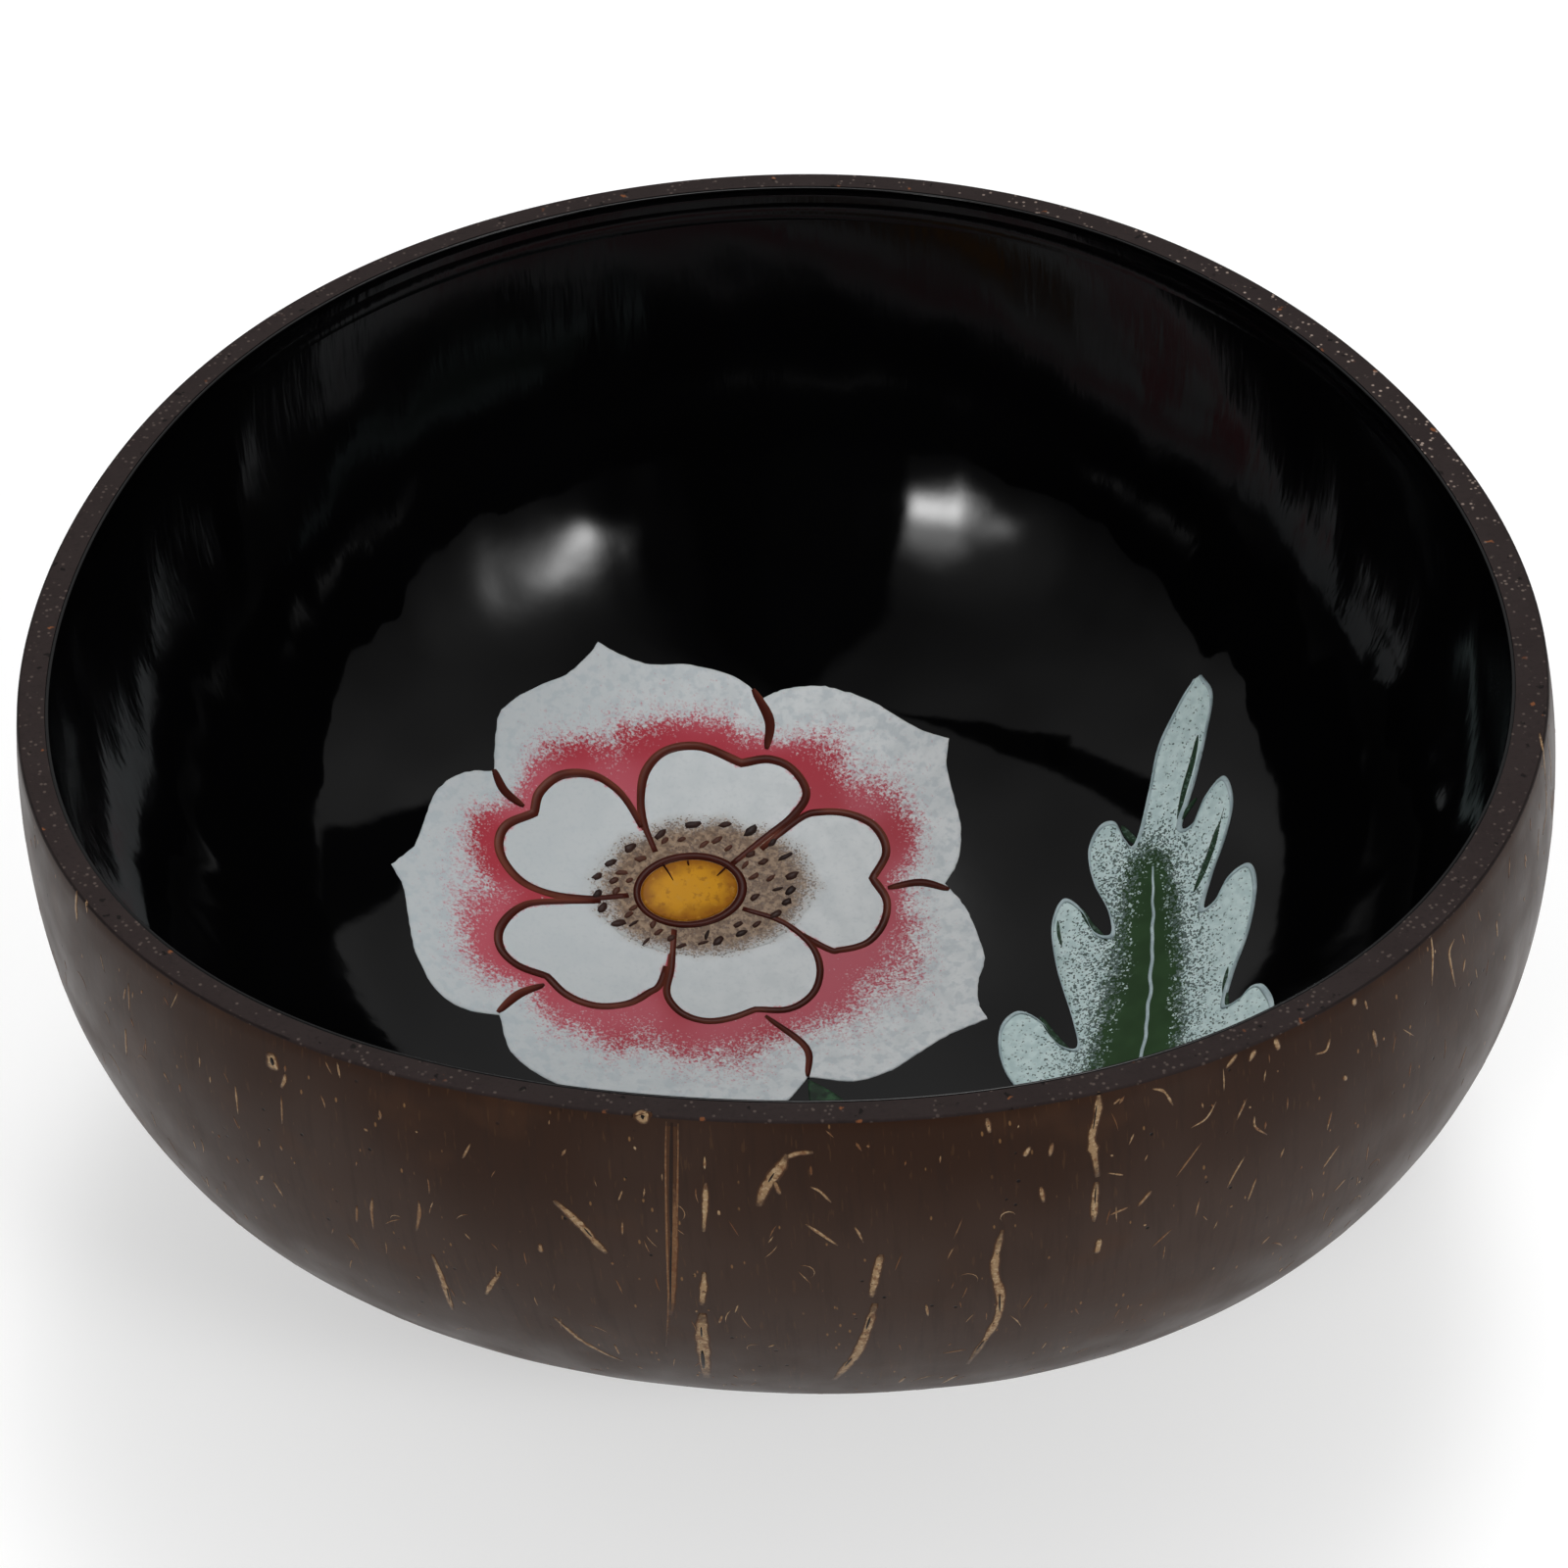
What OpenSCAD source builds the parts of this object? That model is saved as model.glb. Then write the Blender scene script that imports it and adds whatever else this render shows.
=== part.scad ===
// Coconut shell bowl: half a nut sawn level, sanded flat underneath, lined with black
// lacquer and painted on the inner wall with a five-petalled flower and a lobed leaf.
// Millimetres. The origin is the middle of the sanded flat, and +Z points up out of the bowl.

/* [Shell] */
// Width at the belly, the widest level of the nut
belly_d = 136.6; // [110:0.2:160]
// Height of the sawn rim above the sanded flat
height = 60.5; // [50:0.5:76]
// How far the belly lies under the rim
belly_drop = 10.5; // [4:0.5:16]
// Width of the flat sanded underneath
base_d = 38; // [24:1:50]
// Fullness of the side: 2 is an ellipse, more is squarer
fullness = 2.28; // [2:0.02:2.8]
// Sideways shift of the rim over the flat, to the left, because the nut leans
rim_shift = 2.6; // [0:0.1:5]
// Height of the nut's three lobes on a round outline
lobe_rise = 1.7; // [0:0.05:3]
// Height of its four weaker swellings
swell_rise = 0.55; // [0:0.05:1.2]
// Height of its five faint ripples
ripple_rise = 0.25; // [0:0.05:0.6]
// Thickness of the shell's side wall
shell_wall = 2.3; // [1.6:0.1:4]
// How much thicker the wall is on its thick side, to the right
thick_right = 0.25; // [0:0.05:0.6]
// How much thicker the wall is at both sides than at front and back
thick_flanks = 0.25; // [0:0.05:0.6]
// Thickness of shell left over the sanded flat
shell_floor = 2.7; // [2:0.1:5]
// Chamfer that eases the outer edge of the rim
arris = 0.2; // [0.1:0.1:0.8]

/* [Lacquer and paint] */
// Thickness of the black lacquer lining
lacquer = 0.35; // [0.2:0.05:0.8]
// Thickness of one coat of paint
coat = 0.2; // [0.1:0.05:0.4]

/* [Flower] */
// Reach of the flower's right-hand petal tip from its middle
flower_reach = 30; // [20:0.5:32]
// Compass direction of the flower's middle, seen from above, 0 to the right
flower_compass_angle = 116.6; // [90:0.2:140]
// How far up from straight down the flower's middle lies, seen from the belly's middle
flower_up_angle = 31.8; // [20:0.2:45]
// Width of the brown brush line round a petal
brush_w = 0.95; // [0.4:0.05:1.4]
// Length of the stippled disc round the flower's heart
disc_l = 21.6; // [18:0.2:26]
// Width of the stippled disc
disc_w = 15.6; // [13:0.2:18]
// Turn of the disc, anticlockwise
disc_turn = -14; // [-30:1:30]
// Length of the golden heart
heart_l = 9.8; // [6:0.2:12]
// Width of the golden heart
heart_w = 7; // [4:0.2:9]
// Turn of the golden heart, anticlockwise
heart_turn = -7; // [-30:1:30]
// Height of the golden heart's dome
heart_dome = 0.3; // [0:0.05:0.6]
// Width of the brown ring round the heart
ring_w = 0.9; // [0.4:0.05:1.4]
// Length of one dark seed dash on the disc
seed_l = 1.1; // [0.6:0.1:1.6]
// Width of one seed dash
seed_w = 0.5; // [0.3:0.05:0.8]
// Slant of the seed dashes, anticlockwise
seed_turn = 12; // [-45:1:45]
// Length of the small dark leaf that shows under the flower
sprig_l = 13; // [8:0.5:16]
// Width of the small leaf
sprig_w = 4.4; // [3:0.2:7]

/* [Leaf] */
// Reach of the leaf's tip from the middle of its drawing
leaf_reach = 20; // [14:0.5:22]
// Clearance between the flower's reach and the leaf's widest lobe
leaf_gap = 0.74; // [0.2:0.02:4]
// Direction of the leaf's middle from the flower's, anticlockwise from the flower's right
leaf_way_angle = -25.8; // [-40:0.2:-10]
// Turn of the leaf's tip, anticlockwise from straight up the wall
leaf_turn = 55.7; // [40:0.1:70]
// Width of the pale line along the leaf's edge
edge_w = 0.7; // [0.3:0.05:1.2]
// Width of the pale midrib
rib_w = 0.6; // [0.3:0.05:1]

/* [Hidden] */

// Directions of the first lobe, swelling and ripple
lobe_turn = 87.7;
swell_turn = 42.9;
ripple_turn = -1.8;

// Facets round the bowl and rings of facets up each wall
sides = 54;
outer_rings = 11;
inner_rings = 15;

// Room under the first coat for the lacquer's flat facets, and under each later coat for those
// of the coat below
lacquer_room = 0.24;
coat_room = 0.1;

// The coats on the lacquer, each with the height of its underside and of its top
first_coat = [lacquer_room, lacquer_room + coat];
second_coat = first_coat + (coat + coat_room) * [1, 1];
third_coat = second_coat + (coat + coat_room) * [1, 1];
fourth_coat = third_coat + (coat + coat_room) * [1, 1];

// The middle of the belly, from which the walls are drawn
eye_z = height - belly_drop;
belly_r = belly_d / 2;
base_share = base_d / belly_d;
shell_depth = eye_z / pow(1 - pow(base_share, fullness), 1 / fullness);
hollow_depth = eye_z - shell_floor;
lining_depth = hollow_depth - lacquer;

// Outer petals, clockwise from the top, as shares of the flower's reach.
// A row holds the notch before the petal, its near side, its tip in the middle of the row, and its
// far side.
outer_petal_shares = [
    [[-0.375, 0.555], [-0.325, 0.64], [-0.265, 0.715], [-0.15, 0.745], [-0.03, 0.755],
        [0.055, 0.785], [0.10, 0.81], [0.15, 0.757], [0.225, 0.705], [0.335, 0.665], [0.445, 0.59]],
    [[0.505, 0.50], [0.575, 0.50], [0.665, 0.475], [0.74, 0.425], [0.82, 0.345],
        [0.905, 0.225], [0.98, 0.155], [0.945, 0.075], [0.93, -0.03], [0.91, -0.155], [0.86, -0.265]],
    [[0.79, -0.33], [0.813, -0.43], [0.813, -0.54], [0.79, -0.69], [0.73, -0.78],
        [0.69, -0.875], [0.685, -0.96], [0.54, -0.97], [0.41, -1.0], [0.275, -1.04], [0.12, -1.03]],
    [[-0.02, -0.935], [-0.085, -0.975], [-0.165, -1.01], [-0.27, -0.985], [-0.39, -0.945],
        [-0.51, -0.93], [-0.60, -0.96], [-0.66, -0.79], [-0.755, -0.67], [-0.85, -0.53],
        [-0.885, -0.39]],
    [[-0.835, -0.24], [-0.925, -0.185], [-0.97, -0.085], [-0.95, 0.06], [-0.90, 0.18],
        [-0.855, 0.285], [-0.85, 0.36], [-0.745, 0.40], [-0.655, 0.48], [-0.57, 0.55],
        [-0.465, 0.575]],
];

// Inner petals, clockwise from the upper left, as shares of the flower's reach.
// A row holds the first and the last point that the petal's own brush line follows, and the
// outline from one side of the heart over both crowns to the other, its notch in the middle.
inner_petal_shares = [
    [0, 11, [[-0.19, 0.045], [-0.32, 0.08], [-0.43, 0.14], [-0.49, 0.215], [-0.495, 0.315],
        [-0.435, 0.385], [-0.325, 0.40], [-0.275, 0.455], [-0.19, 0.485], [-0.105, 0.465],
        [-0.055, 0.415], [-0.03, 0.335], [-0.03, 0.16]]],
    [0, 12, [[-0.03, 0.16], [-0.015, 0.265], [0.02, 0.35], [0.075, 0.42], [0.16, 0.455],
        [0.265, 0.43], [0.36, 0.338], [0.445, 0.318], [0.50, 0.26], [0.508, 0.17],
        [0.435, 0.115], [0.32, 0.078], [0.18, 0.03]]],
    [1, 11, [[0.21, 0.015], [0.445, 0.095], [0.53, 0.09], [0.61, 0.045], [0.665, -0.03],
        [0.662, -0.13], [0.583, -0.205], [0.59, -0.31], [0.54, -0.395], [0.46, -0.445],
        [0.365, -0.435], [0.315, -0.395], [0.165, -0.12]]],
    [0, 12, [[0.135, -0.14], [0.235, -0.245], [0.28, -0.375], [0.258, -0.49], [0.185, -0.577],
        [0.078, -0.605], [-0.03, -0.555], [-0.13, -0.555], [-0.215, -0.53], [-0.272, -0.463],
        [-0.275, -0.367], [-0.205, -0.27], [-0.117, -0.13]]],
    [1, 11, [[-0.117, -0.13], [-0.262, -0.305], [-0.33, -0.335], [-0.42, -0.35], [-0.52, -0.32],
        [-0.585, -0.245], [-0.605, -0.15], [-0.67, -0.08], [-0.685, -0.005], [-0.645, 0.065],
        [-0.55, 0.115], [-0.45, 0.11], [-0.195, 0.025]]],
];

// Brush lines that part the outer petals, as shares of the flower's reach, from the outside in
parting_shares = [
    [[-0.375, 0.56], [-0.377, 0.49], [-0.345, 0.43]],
    [[0.485, 0.535], [0.495, 0.43], [0.452, 0.352]],
    [[0.795, -0.36], [0.72, -0.29], [0.615, -0.262]],
    [[-0.02, -0.935], [0.045, -0.80], [-0.012, -0.60]],
    [[-0.837, -0.23], [-0.73, -0.185], [-0.635, -0.178]],
];

// Middles of the disc and of the heart, as shares of the flower's reach, and the rings of seeds: a
// ring has its share of the way from the heart's ring to the disc's edge, and its count
disc_middle_shares = [0.053, -0.028];
heart_middle_shares = [0.003, -0.012];
seed_ring_shares = [[0.18, 20], [0.82, 22]];

// Place of the small leaf's top under the flower
sprig_top_shares = [-0.025, -0.945];

// Leaf, from its tip to its stalk, as shares of its reach: a group is the outline on the right
// and on the left from one notch to the next, so both sides have as many points
leaf_shares = [
    [[[0.39, 0.93], [0.425, 0.825], [0.36, 0.66], [0.275, 0.46], [0.185, 0.25]],
        [[0.345, 0.925], [0.255, 0.855], [0.115, 0.695], [0.035, 0.48], [-0.055, 0.23]]],
    [[[0.25, 0.245], [0.32, 0.36], [0.42, 0.425], [0.455, 0.295], [0.41, 0.13], [0.335, -0.05],
            [0.285, -0.235]],
        [[-0.105, 0.27], [-0.15, 0.38], [-0.23, 0.375], [-0.29, 0.255], [-0.27, 0.065],
            [-0.20, -0.12], [-0.185, -0.27]]],
    [[[0.35, -0.215], [0.42, -0.10], [0.52, -0.07], [0.555, -0.20], [0.52, -0.44],
            [0.455, -0.665], [0.43, -0.86]],
        [[-0.27, -0.235], [-0.335, -0.08], [-0.43, 0.005], [-0.49, -0.155], [-0.455, -0.455],
            [-0.355, -0.81], [-0.315, -1.01]]],
    [[[0.51, -0.84], [0.56, -0.785], [0.615, -0.795], [0.675, -0.915], [0.68, -1.075],
            [0.59, -1.25], [0.44, -1.40]],
        [[-0.42, -0.97], [-0.53, -0.79], [-0.655, -0.71], [-0.74, -0.815], [-0.725, -1.04],
            [-0.625, -1.265], [-0.44, -1.44]]],
    [[[0.33, -1.54], [0.18, -1.68], [0.07, -1.80]],
        [[-0.28, -1.56], [-0.13, -1.70], [-0.02, -1.80]]],
];

// How far the leaf's widest lobe reaches to its left, as a share of the leaf's reach
leaf_side_share = 0.74;

// Lines inside the leaf, on the right, along its midrib and on the left: their places at the tip,
// at each notch and at the stalk
leaf_core_shares = [
    [[0.38, 0.93], [0.368, 0.928], [0.355, 0.926]],
    [[0.125, 0.255], [0.03, 0.25], [0, 0.20]],
    [[0.17, -0.30], [0.03, -0.32], [-0.11, -0.36]],
    [[0.24, -1.00], [0.04, -0.98], [-0.27, -1.08]],
    [[0.22, -1.40], [0.01, -1.40], [-0.36, -1.42]],
    [[0.045, -1.80], [0.025, -1.80], [0, -1.80]],
];

// How soon those lines reach the root of the next lobe, as a power of the way along it
root_share = 0.6;

// Where a sheet of paint has its rings and rows, as shares of the way out to its edge
petal_ring_shares = [0.2, 0.4, 0.6, 0.8, 1];
oval_ring_shares = [0.5, 1];
half_share = 0.5;

// Width of a brush stroke at its two ends, as a share of its full width
tip_share = 0.4;

// Points between two hand-set points of an outline, and points round an oval or a small leaf
petal_steps = 2;
leaf_steps = 2;
oval_steps = 30;
sprig_steps = 8;

// Geometry of the nut

// Outside radius at the belly in the direction a
function girth(a) = belly_r + lobe_rise * cos(3 * (a - lobe_turn))
    + swell_rise * cos(4 * (a - swell_turn)) + ripple_rise * cos(5 * (a - ripple_turn));

// Inside radius of the bare shell, and of the lacquer on it
function hollow_girth(a) = girth(a) - shell_wall - thick_right * cos(a) - thick_flanks * cos(2 * a);
function lining_girth(a) = hollow_girth(a) - lacquer;

// A point of the upright nut, leant over to the side
function lean_over(p) = [p.x - rim_shift * p.z / height, p.y, p.z];

// The point of a wall seen from the belly's middle along dir, raised off the wall by lift
function wall_point(dir, girth, depth, lift = 0) =
    let (side = norm([dir.x, dir.y]) / girth)
    let (down = abs(dir.z) / depth)
    let (reach = pow(pow(side, fullness) + pow(down, fullness), -1 / fullness) - lift)
    lean_over([0, 0, eye_z] + reach * dir);

// A direction from the belly's middle: a is its compass direction, up its angle from straight down
function look(a, up) = [sin(up) * cos(a), sin(up) * sin(a), -cos(up)];

// Radius of a wall at the level z above the belly, and the angle at which that level is seen
function level_reach(girth, depth, z) = girth * pow(1 - pow(abs(z) / depth, fullness), 1 / fullness);
function level_up(girth, depth, z) = 90 + atan(z / level_reach(girth, depth, z));

// The directions at which the walls have their points
function compass() = [for (i = [0:sides - 1]) 360 * i / sides];

// The outside, from the sanded flat to the eased edge of the rim
outer_wall = [for (k = [0:outer_rings]) [for (a = compass())
    let (low = level_up(girth(a), shell_depth, -eye_z))
    let (high = level_up(girth(a), shell_depth, belly_drop - arris))
    wall_point(look(a, low + (high - low) * k / outer_rings), girth(a), shell_depth)]];

// The flat rim's outer edge
rim_edge = [for (a = compass())
    let (reach = level_reach(girth(a), shell_depth, belly_drop) - arris)
    lean_over([reach * cos(a), reach * sin(a), height])];

// A wall of the hollow, from the rim down to the smallest ring round its lowest point
function hollow_wall(depth, inset) = [for (k = [inner_rings:-1:1]) [for (a = compass())
    let (g = hollow_girth(a) - inset)
    wall_point(look(a, level_up(g, depth, belly_drop) * k / inner_rings), g, depth)]];

// Solids from points

// Triangles between two rings of n points that start at a and at b
function ring_faces(a, b, n) = [for (i = [0:n - 1]) let (j = (i + 1) % n)
    each [[a + i, b + i, b + j], [a + i, b + j, a + j]]];

// Triangles from a ring of n points to the single point p
function cap_faces(a, p, n) = [for (i = [0:n - 1]) [a + i, p, a + (i + 1) % n]];

// Triangles of a hollow's wall whose rings start at a, with its lowest point after them
function hollow_faces(a) = concat(
    [for (k = [0:inner_rings - 2]) each ring_faces(a + k * sides, a + (k + 1) * sides, sides)],
    cap_faces(a + (inner_rings - 1) * sides, a + inner_rings * sides, sides));

// The same triangles seen from behind
function flipped(faces) = [for (f = faces) [f[2], f[1], f[0]]];

// A list's items in one list
function flat(lists) = [for (list = lists) each list];

// One body from several closed meshes, each a list of points and faces
module body(meshes) {
    starts = [for (i = 0, n = 0; i < len(meshes); n = n + len(meshes[i][0]), i = i + 1) n];
    polyhedron(
        points = flat([for (m = meshes) m[0]]),
        faces = [for (i = [0:len(meshes) - 1], f = meshes[i][1]) [for (v = f) v + starts[i]]]);
}

// Lines

// A smooth line through points, with steps between each two
function before(points, i) = i > 0 ? points[i - 1] : 2 * points[0] - points[1];
function after(points, i) = let (n = len(points))
    i + 2 < n ? points[i + 2] : 2 * points[n - 1] - points[n - 2];
function between(p, q, r, s, t) = (2 * q + (r - p) * t + (2 * p - 5 * q + 4 * r - s) * t * t
    + (3 * q - p - 3 * r + s) * t * t * t) / 2;
function smooth(points, steps) = [
    for (i = [0:len(points) - 2], k = [0:steps - 1])
        between(before(points, i), points[i], points[i + 1], after(points, i), k / steps),
    points[len(points) - 1]];

// The items of a list from one place to another
function part_of(list, from, to) = [for (i = [from:to]) list[i]];

// A line moved sideways by shift(i), to the right of its travel
function beside(line, shift) = [for (i = [0:len(line) - 1])
    let (way = line[min(i + 1, len(line) - 1)] - line[max(i - 1, 0)])
    line[i] + shift[i] * [way.y, -way.x] / norm(way)];

// Flat sheets, each a list of points, of clockwise triangles and of the loops round its edge.
// A point's third number is how much its top stands over the coat.

// A sheet inside a clockwise loop, filled by rings at shares of the way from its middle
function fan_sheet(loop, middle, ring_shares, dome = 0) = let (n = len(loop)) [
    [[middle.x, middle.y, dome], for (s = ring_shares, p = loop)
        let (q = middle + s * (p - middle)) [q.x, q.y, dome * (1 - s * s)]],
    [for (i = [0:n - 1]) [0, 1 + i, 1 + (i + 1) % n],
        for (k = [1:len(ring_shares) - 1]) each ring_faces(1 + (k - 1) * n, 1 + k * n, n)],
    [[for (i = [0:n - 1]) 1 + (len(ring_shares) - 1) * n + i]]];

// A sheet between rows of points that run from the left to the right of its travel
function strip_sheet(rows) = let (n = len(rows)) let (m = len(rows[0])) [
    [for (row = rows, p = row) [p.x, p.y, 0]],
    [for (i = [0:n - 2], j = [0:m - 2]) let (a = i * m + j)
        each [[a, a + m, a + m + 1], [a, a + m + 1, a + 1]]],
    [[for (i = [0:n - 1]) i * m, for (j = [1:m - 1]) (n - 1) * m + j,
        for (i = [n - 2:-1:0]) i * m + m - 1, for (j = [m - 2:-1:1]) j]]];

// A ring-shaped sheet between two clockwise loops of as many points
function ring_sheet(inner, outer) = let (n = len(inner)) [
    [for (p = concat(inner, outer)) [p.x, p.y, 0]],
    ring_faces(0, n, n),
    [[for (i = [n - 1:-1:0]) i], [for (i = [0:n - 1]) n + i]]];

// Share of a brush's full width at point i of n: full in the middle and finer at both ends
function brush_share(i, n) = tip_share + (1 - tip_share) * sqrt(sin(180 * i / n));

// A brush stroke along a line
function stroke_sheet(line, width) = let (n = len(line) - 1)
    let (half = [for (i = [0:n]) width / 2 * brush_share(i, n)])
    let (left = beside(line, -half))
    let (right = beside(line, half))
    strip_sheet([for (i = [0:n]) [left[i], right[i]]]);

// Paint on the wall

// A motif's place on the wall: its middle's direction, and its own right and upward directions
function motif(a, up, turn) = let (across = [sin(a), -cos(a), 0])
    let (rise = [cos(up) * cos(a), cos(up) * sin(a), sin(up)])
    [look(a, up), cos(turn) * across + sin(turn) * rise, cos(turn) * rise - sin(turn) * across];
flower_place = motif(flower_compass_angle, flower_up_angle, 0);

// The distance of a motif's middle from the belly's middle, which turns millimetres on the wall
// into angles
function lining_reach(dir) = let (g = lining_girth(atan2(dir.y, dir.x)))
    pow(pow(norm([dir.x, dir.y]) / g, fullness) + pow(abs(dir.z) / lining_depth, fullness),
        -1 / fullness);

// The direction of the point p of a motif
function direction(place, p) = let (far = norm([p.x, p.y]))
    let (turn = far / lining_reach(place[0]) * 180 / PI)
    let (way = far > 0 ? (p.x * place[1] + p.y * place[2]) / far : place[1])
    cos(turn) * place[0] + sin(turn) * way;

// The same point on the lacquer, raised by lift
function on_lacquer(place, p, lift) = let (dir = direction(place, p))
    wall_point(dir, lining_girth(atan2(dir.y, dir.x)), lining_depth, lift);

// The leaf lies beside the flower, clear of its reach
leaf_far = flower_reach + leaf_gap + leaf_side_share * leaf_reach;
leaf_dir = direction(flower_place, leaf_far * [cos(leaf_way_angle), sin(leaf_way_angle)]);
leaf_place = motif(atan2(leaf_dir.y, leaf_dir.x), atan2(norm([leaf_dir.x, leaf_dir.y]), -leaf_dir.z),
    leaf_turn);

// A closed mesh of the sheet, laid on the lacquer as one of the coats
function painted(place, sheet, layer) = let (n = len(sheet[0])) [
    [for (p = sheet[0]) on_lacquer(place, p, layer[1] + p[2]),
        for (p = sheet[0]) on_lacquer(place, p, layer[0])],
    [for (f = sheet[1]) f,
        for (f = flipped(sheet[1])) f + n * [1, 1, 1],
        for (loop = sheet[2], i = [0:len(loop) - 1])
            let (a = loop[i])
            let (b = loop[(i + 1) % len(loop)])
            each [[b, a, a + n], [b, a + n, b + n]]]];

// Outlines of the motifs

// The whole flower's outline, sharp at its tips and notches
flower_loop = flower_reach * flat([for (i = [0:len(outer_petal_shares) - 1])
    let (petal = outer_petal_shares[i])
    let (next = outer_petal_shares[(i + 1) % len(outer_petal_shares)][0])
    let (tip = (len(petal) + 1) / 2)
    let (near = smooth(part_of(petal, 0, tip), petal_steps))
    let (far = smooth(concat(part_of(petal, tip, len(petal) - 1), [next]), petal_steps))
    concat(part_of(near, 0, len(near) - 2), part_of(far, 0, len(far) - 2))]);

// An inner petal's outline in two smooth stretches that meet at its notch
function petal_line(points) = let (notch = len(points) / 2 - 0.5)
    let (near = smooth(part_of(points, 0, notch), petal_steps))
    let (far = smooth(part_of(points, notch, len(points) - 1), petal_steps))
    flower_reach * concat(part_of(near, 0, len(near) - 2), far);

// The point of a turned oval in the direction a, clockwise from its upper side
function oval_point(middle, length, width, turn, a) = let (p = [length * sin(a), width * cos(a)] / 2)
    middle + [p.x * cos(turn) - p.y * sin(turn), p.x * sin(turn) + p.y * cos(turn)];

// A clockwise oval
function oval(middle, length, width, turn) = [for (i = [0:oval_steps - 1])
    oval_point(middle, length, width, turn, 360 * i / oval_steps)];

// The middles of the disc and of the heart
disc_middle = flower_reach * disc_middle_shares;
heart_middle = flower_reach * heart_middle_shares;

// The leaf's sides, and a line inside it: 0 is the right one, 1 the midrib's and 2 the left one
leaf_right = leaf_reach * smooth(flat([for (g = leaf_shares) g[0]]), leaf_steps);
leaf_left = leaf_reach * smooth(flat([for (g = leaf_shares) g[1]]), leaf_steps);
function last(list) = list[len(list) - 1];
function leaf_core(line) = leaf_reach * smooth([for (g = [0:len(leaf_shares) - 1])
    let (n = len(leaf_shares[g][0]))
    for (i = [0:n - 1])
        let (way = g == 0 ? i / (n - 1) : pow((i + 1) / n, root_share))
        (1 - way) * leaf_core_shares[g][line] + way * leaf_core_shares[g + 1][line]], leaf_steps);
core_right = leaf_core(0);
leaf_middle = leaf_core(1);
core_left = leaf_core(2);

// A strip inside one of the leaf's sides, towards the line core
function leaf_border(side, core) = let (n = len(side) - 1) [for (i = [0:n])
    let (way = core[i] - side[i])
    [side[i], side[i] + edge_w * brush_share(i, n) * way / norm(way)]];

// The shell, one closed skin over outside, rim and hollow
module coconut_shell() {
    outside = concat(outer_wall, [rim_edge]);
    n = len(outside);
    color("#4a3024") body([[
        concat(flat(outside), flat(hollow_wall(hollow_depth, 0)), [lean_over([0, 0, shell_floor])]),
        concat(
            [[for (i = [0:sides - 1]) i]],
            [for (k = [0:n - 1]) each ring_faces(k * sides, (k + 1) * sides, sides)],
            hollow_faces(n * sides))]]);
}

// The lacquer, a skin between the bare hollow and its own gloss face, flush with the rim
module lacquer_lining() {
    bare = concat(flat(hollow_wall(hollow_depth, 0)), [lean_over([0, 0, shell_floor])]);
    gloss = concat(flat(hollow_wall(lining_depth, lacquer)),
        [lean_over([0, 0, shell_floor + lacquer])]);
    n = len(bare);
    color("#101012") body([[
        concat(bare, gloss),
        concat(flipped(hollow_faces(0)), ring_faces(0, n, sides), hollow_faces(n))]]);
}

// The five pink and white petals, one coat on the lacquer
module outer_petals() {
    sheet = fan_sheet(flower_loop, [0, 0], petal_ring_shares);
    color("#dfc2cb") body([painted(flower_place, sheet, first_coat)]);
}

// The five white petals, each inside its own brush line
module inner_petals() {
    color("#eceeee") body([for (row = inner_petal_shares)
        let (line = petal_line(row[2]))
        let (inside = beside(line, [for (p = line) brush_w / 2]))
        let (middle = (line[0] + last(line) + 2 * line[len(line) / 2 - 0.5]) / 4)
        painted(flower_place, fan_sheet(inside, middle, oval_ring_shares), second_coat)]);
}

// Brush lines round the inner petals and between the outer ones
module petal_outlines() {
    color("#4d2118") body([
        for (row = inner_petal_shares)
            let (line = petal_line(row[2]))
            let (own = part_of(line, row[0] * petal_steps, row[1] * petal_steps))
            painted(flower_place, stroke_sheet(own, brush_w), second_coat),
        for (points = parting_shares)
            let (line = flower_reach * smooth(points, petal_steps))
            painted(flower_place, stroke_sheet(line, brush_w), second_coat)]);
}

// The stippled tan disc round the heart
module stamen_disc() {
    edge = oval(disc_middle, disc_l, disc_w, disc_turn);
    sheet = fan_sheet(edge, disc_middle, oval_ring_shares);
    color("#a08468") body([painted(flower_place, sheet, third_coat)]);
}

// Dark seed dashes in rings on the disc, from the heart's ring to the disc's edge
module stamen_seeds() {
    along = seed_l / 2 * [cos(seed_turn), sin(seed_turn)];
    across = seed_w / 2 * [-sin(seed_turn), cos(seed_turn)];
    inner_grow = 2 * ring_w + seed_l;
    color("#2a1a14") body([for (k = [0:len(seed_ring_shares) - 1])
        let (out = seed_ring_shares[k][0])
        let (count = seed_ring_shares[k][1])
        for (i = [0:count - 1])
            let (a = 360 * (i + k / 2) / count)
            let (near = oval_point(heart_middle, heart_l + inner_grow, heart_w + inner_grow,
                heart_turn, a))
            let (far = oval_point(disc_middle, disc_l - seed_l, disc_w - seed_l, disc_turn, a))
            let (at = near + out * (far - near))
            painted(flower_place, strip_sheet([[at - along + across, at - along - across],
                [at + along + across, at + along - across]]), fourth_coat)]);
}

// The golden heart, a low dome of thick paint
module flower_heart() {
    edge = oval(heart_middle, heart_l, heart_w, heart_turn);
    sheet = fan_sheet(edge, heart_middle, oval_ring_shares, heart_dome);
    color("#c98f1c") body([painted(flower_place, sheet, fourth_coat)]);
}

// The brown ring round the heart
module heart_ring() {
    inner = oval(heart_middle, heart_l, heart_w, heart_turn);
    outer = oval(heart_middle, heart_l + 2 * ring_w, heart_w + 2 * ring_w, heart_turn);
    color("#4d2118") body([painted(flower_place, ring_sheet(inner, outer), fourth_coat)]);
}

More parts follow.
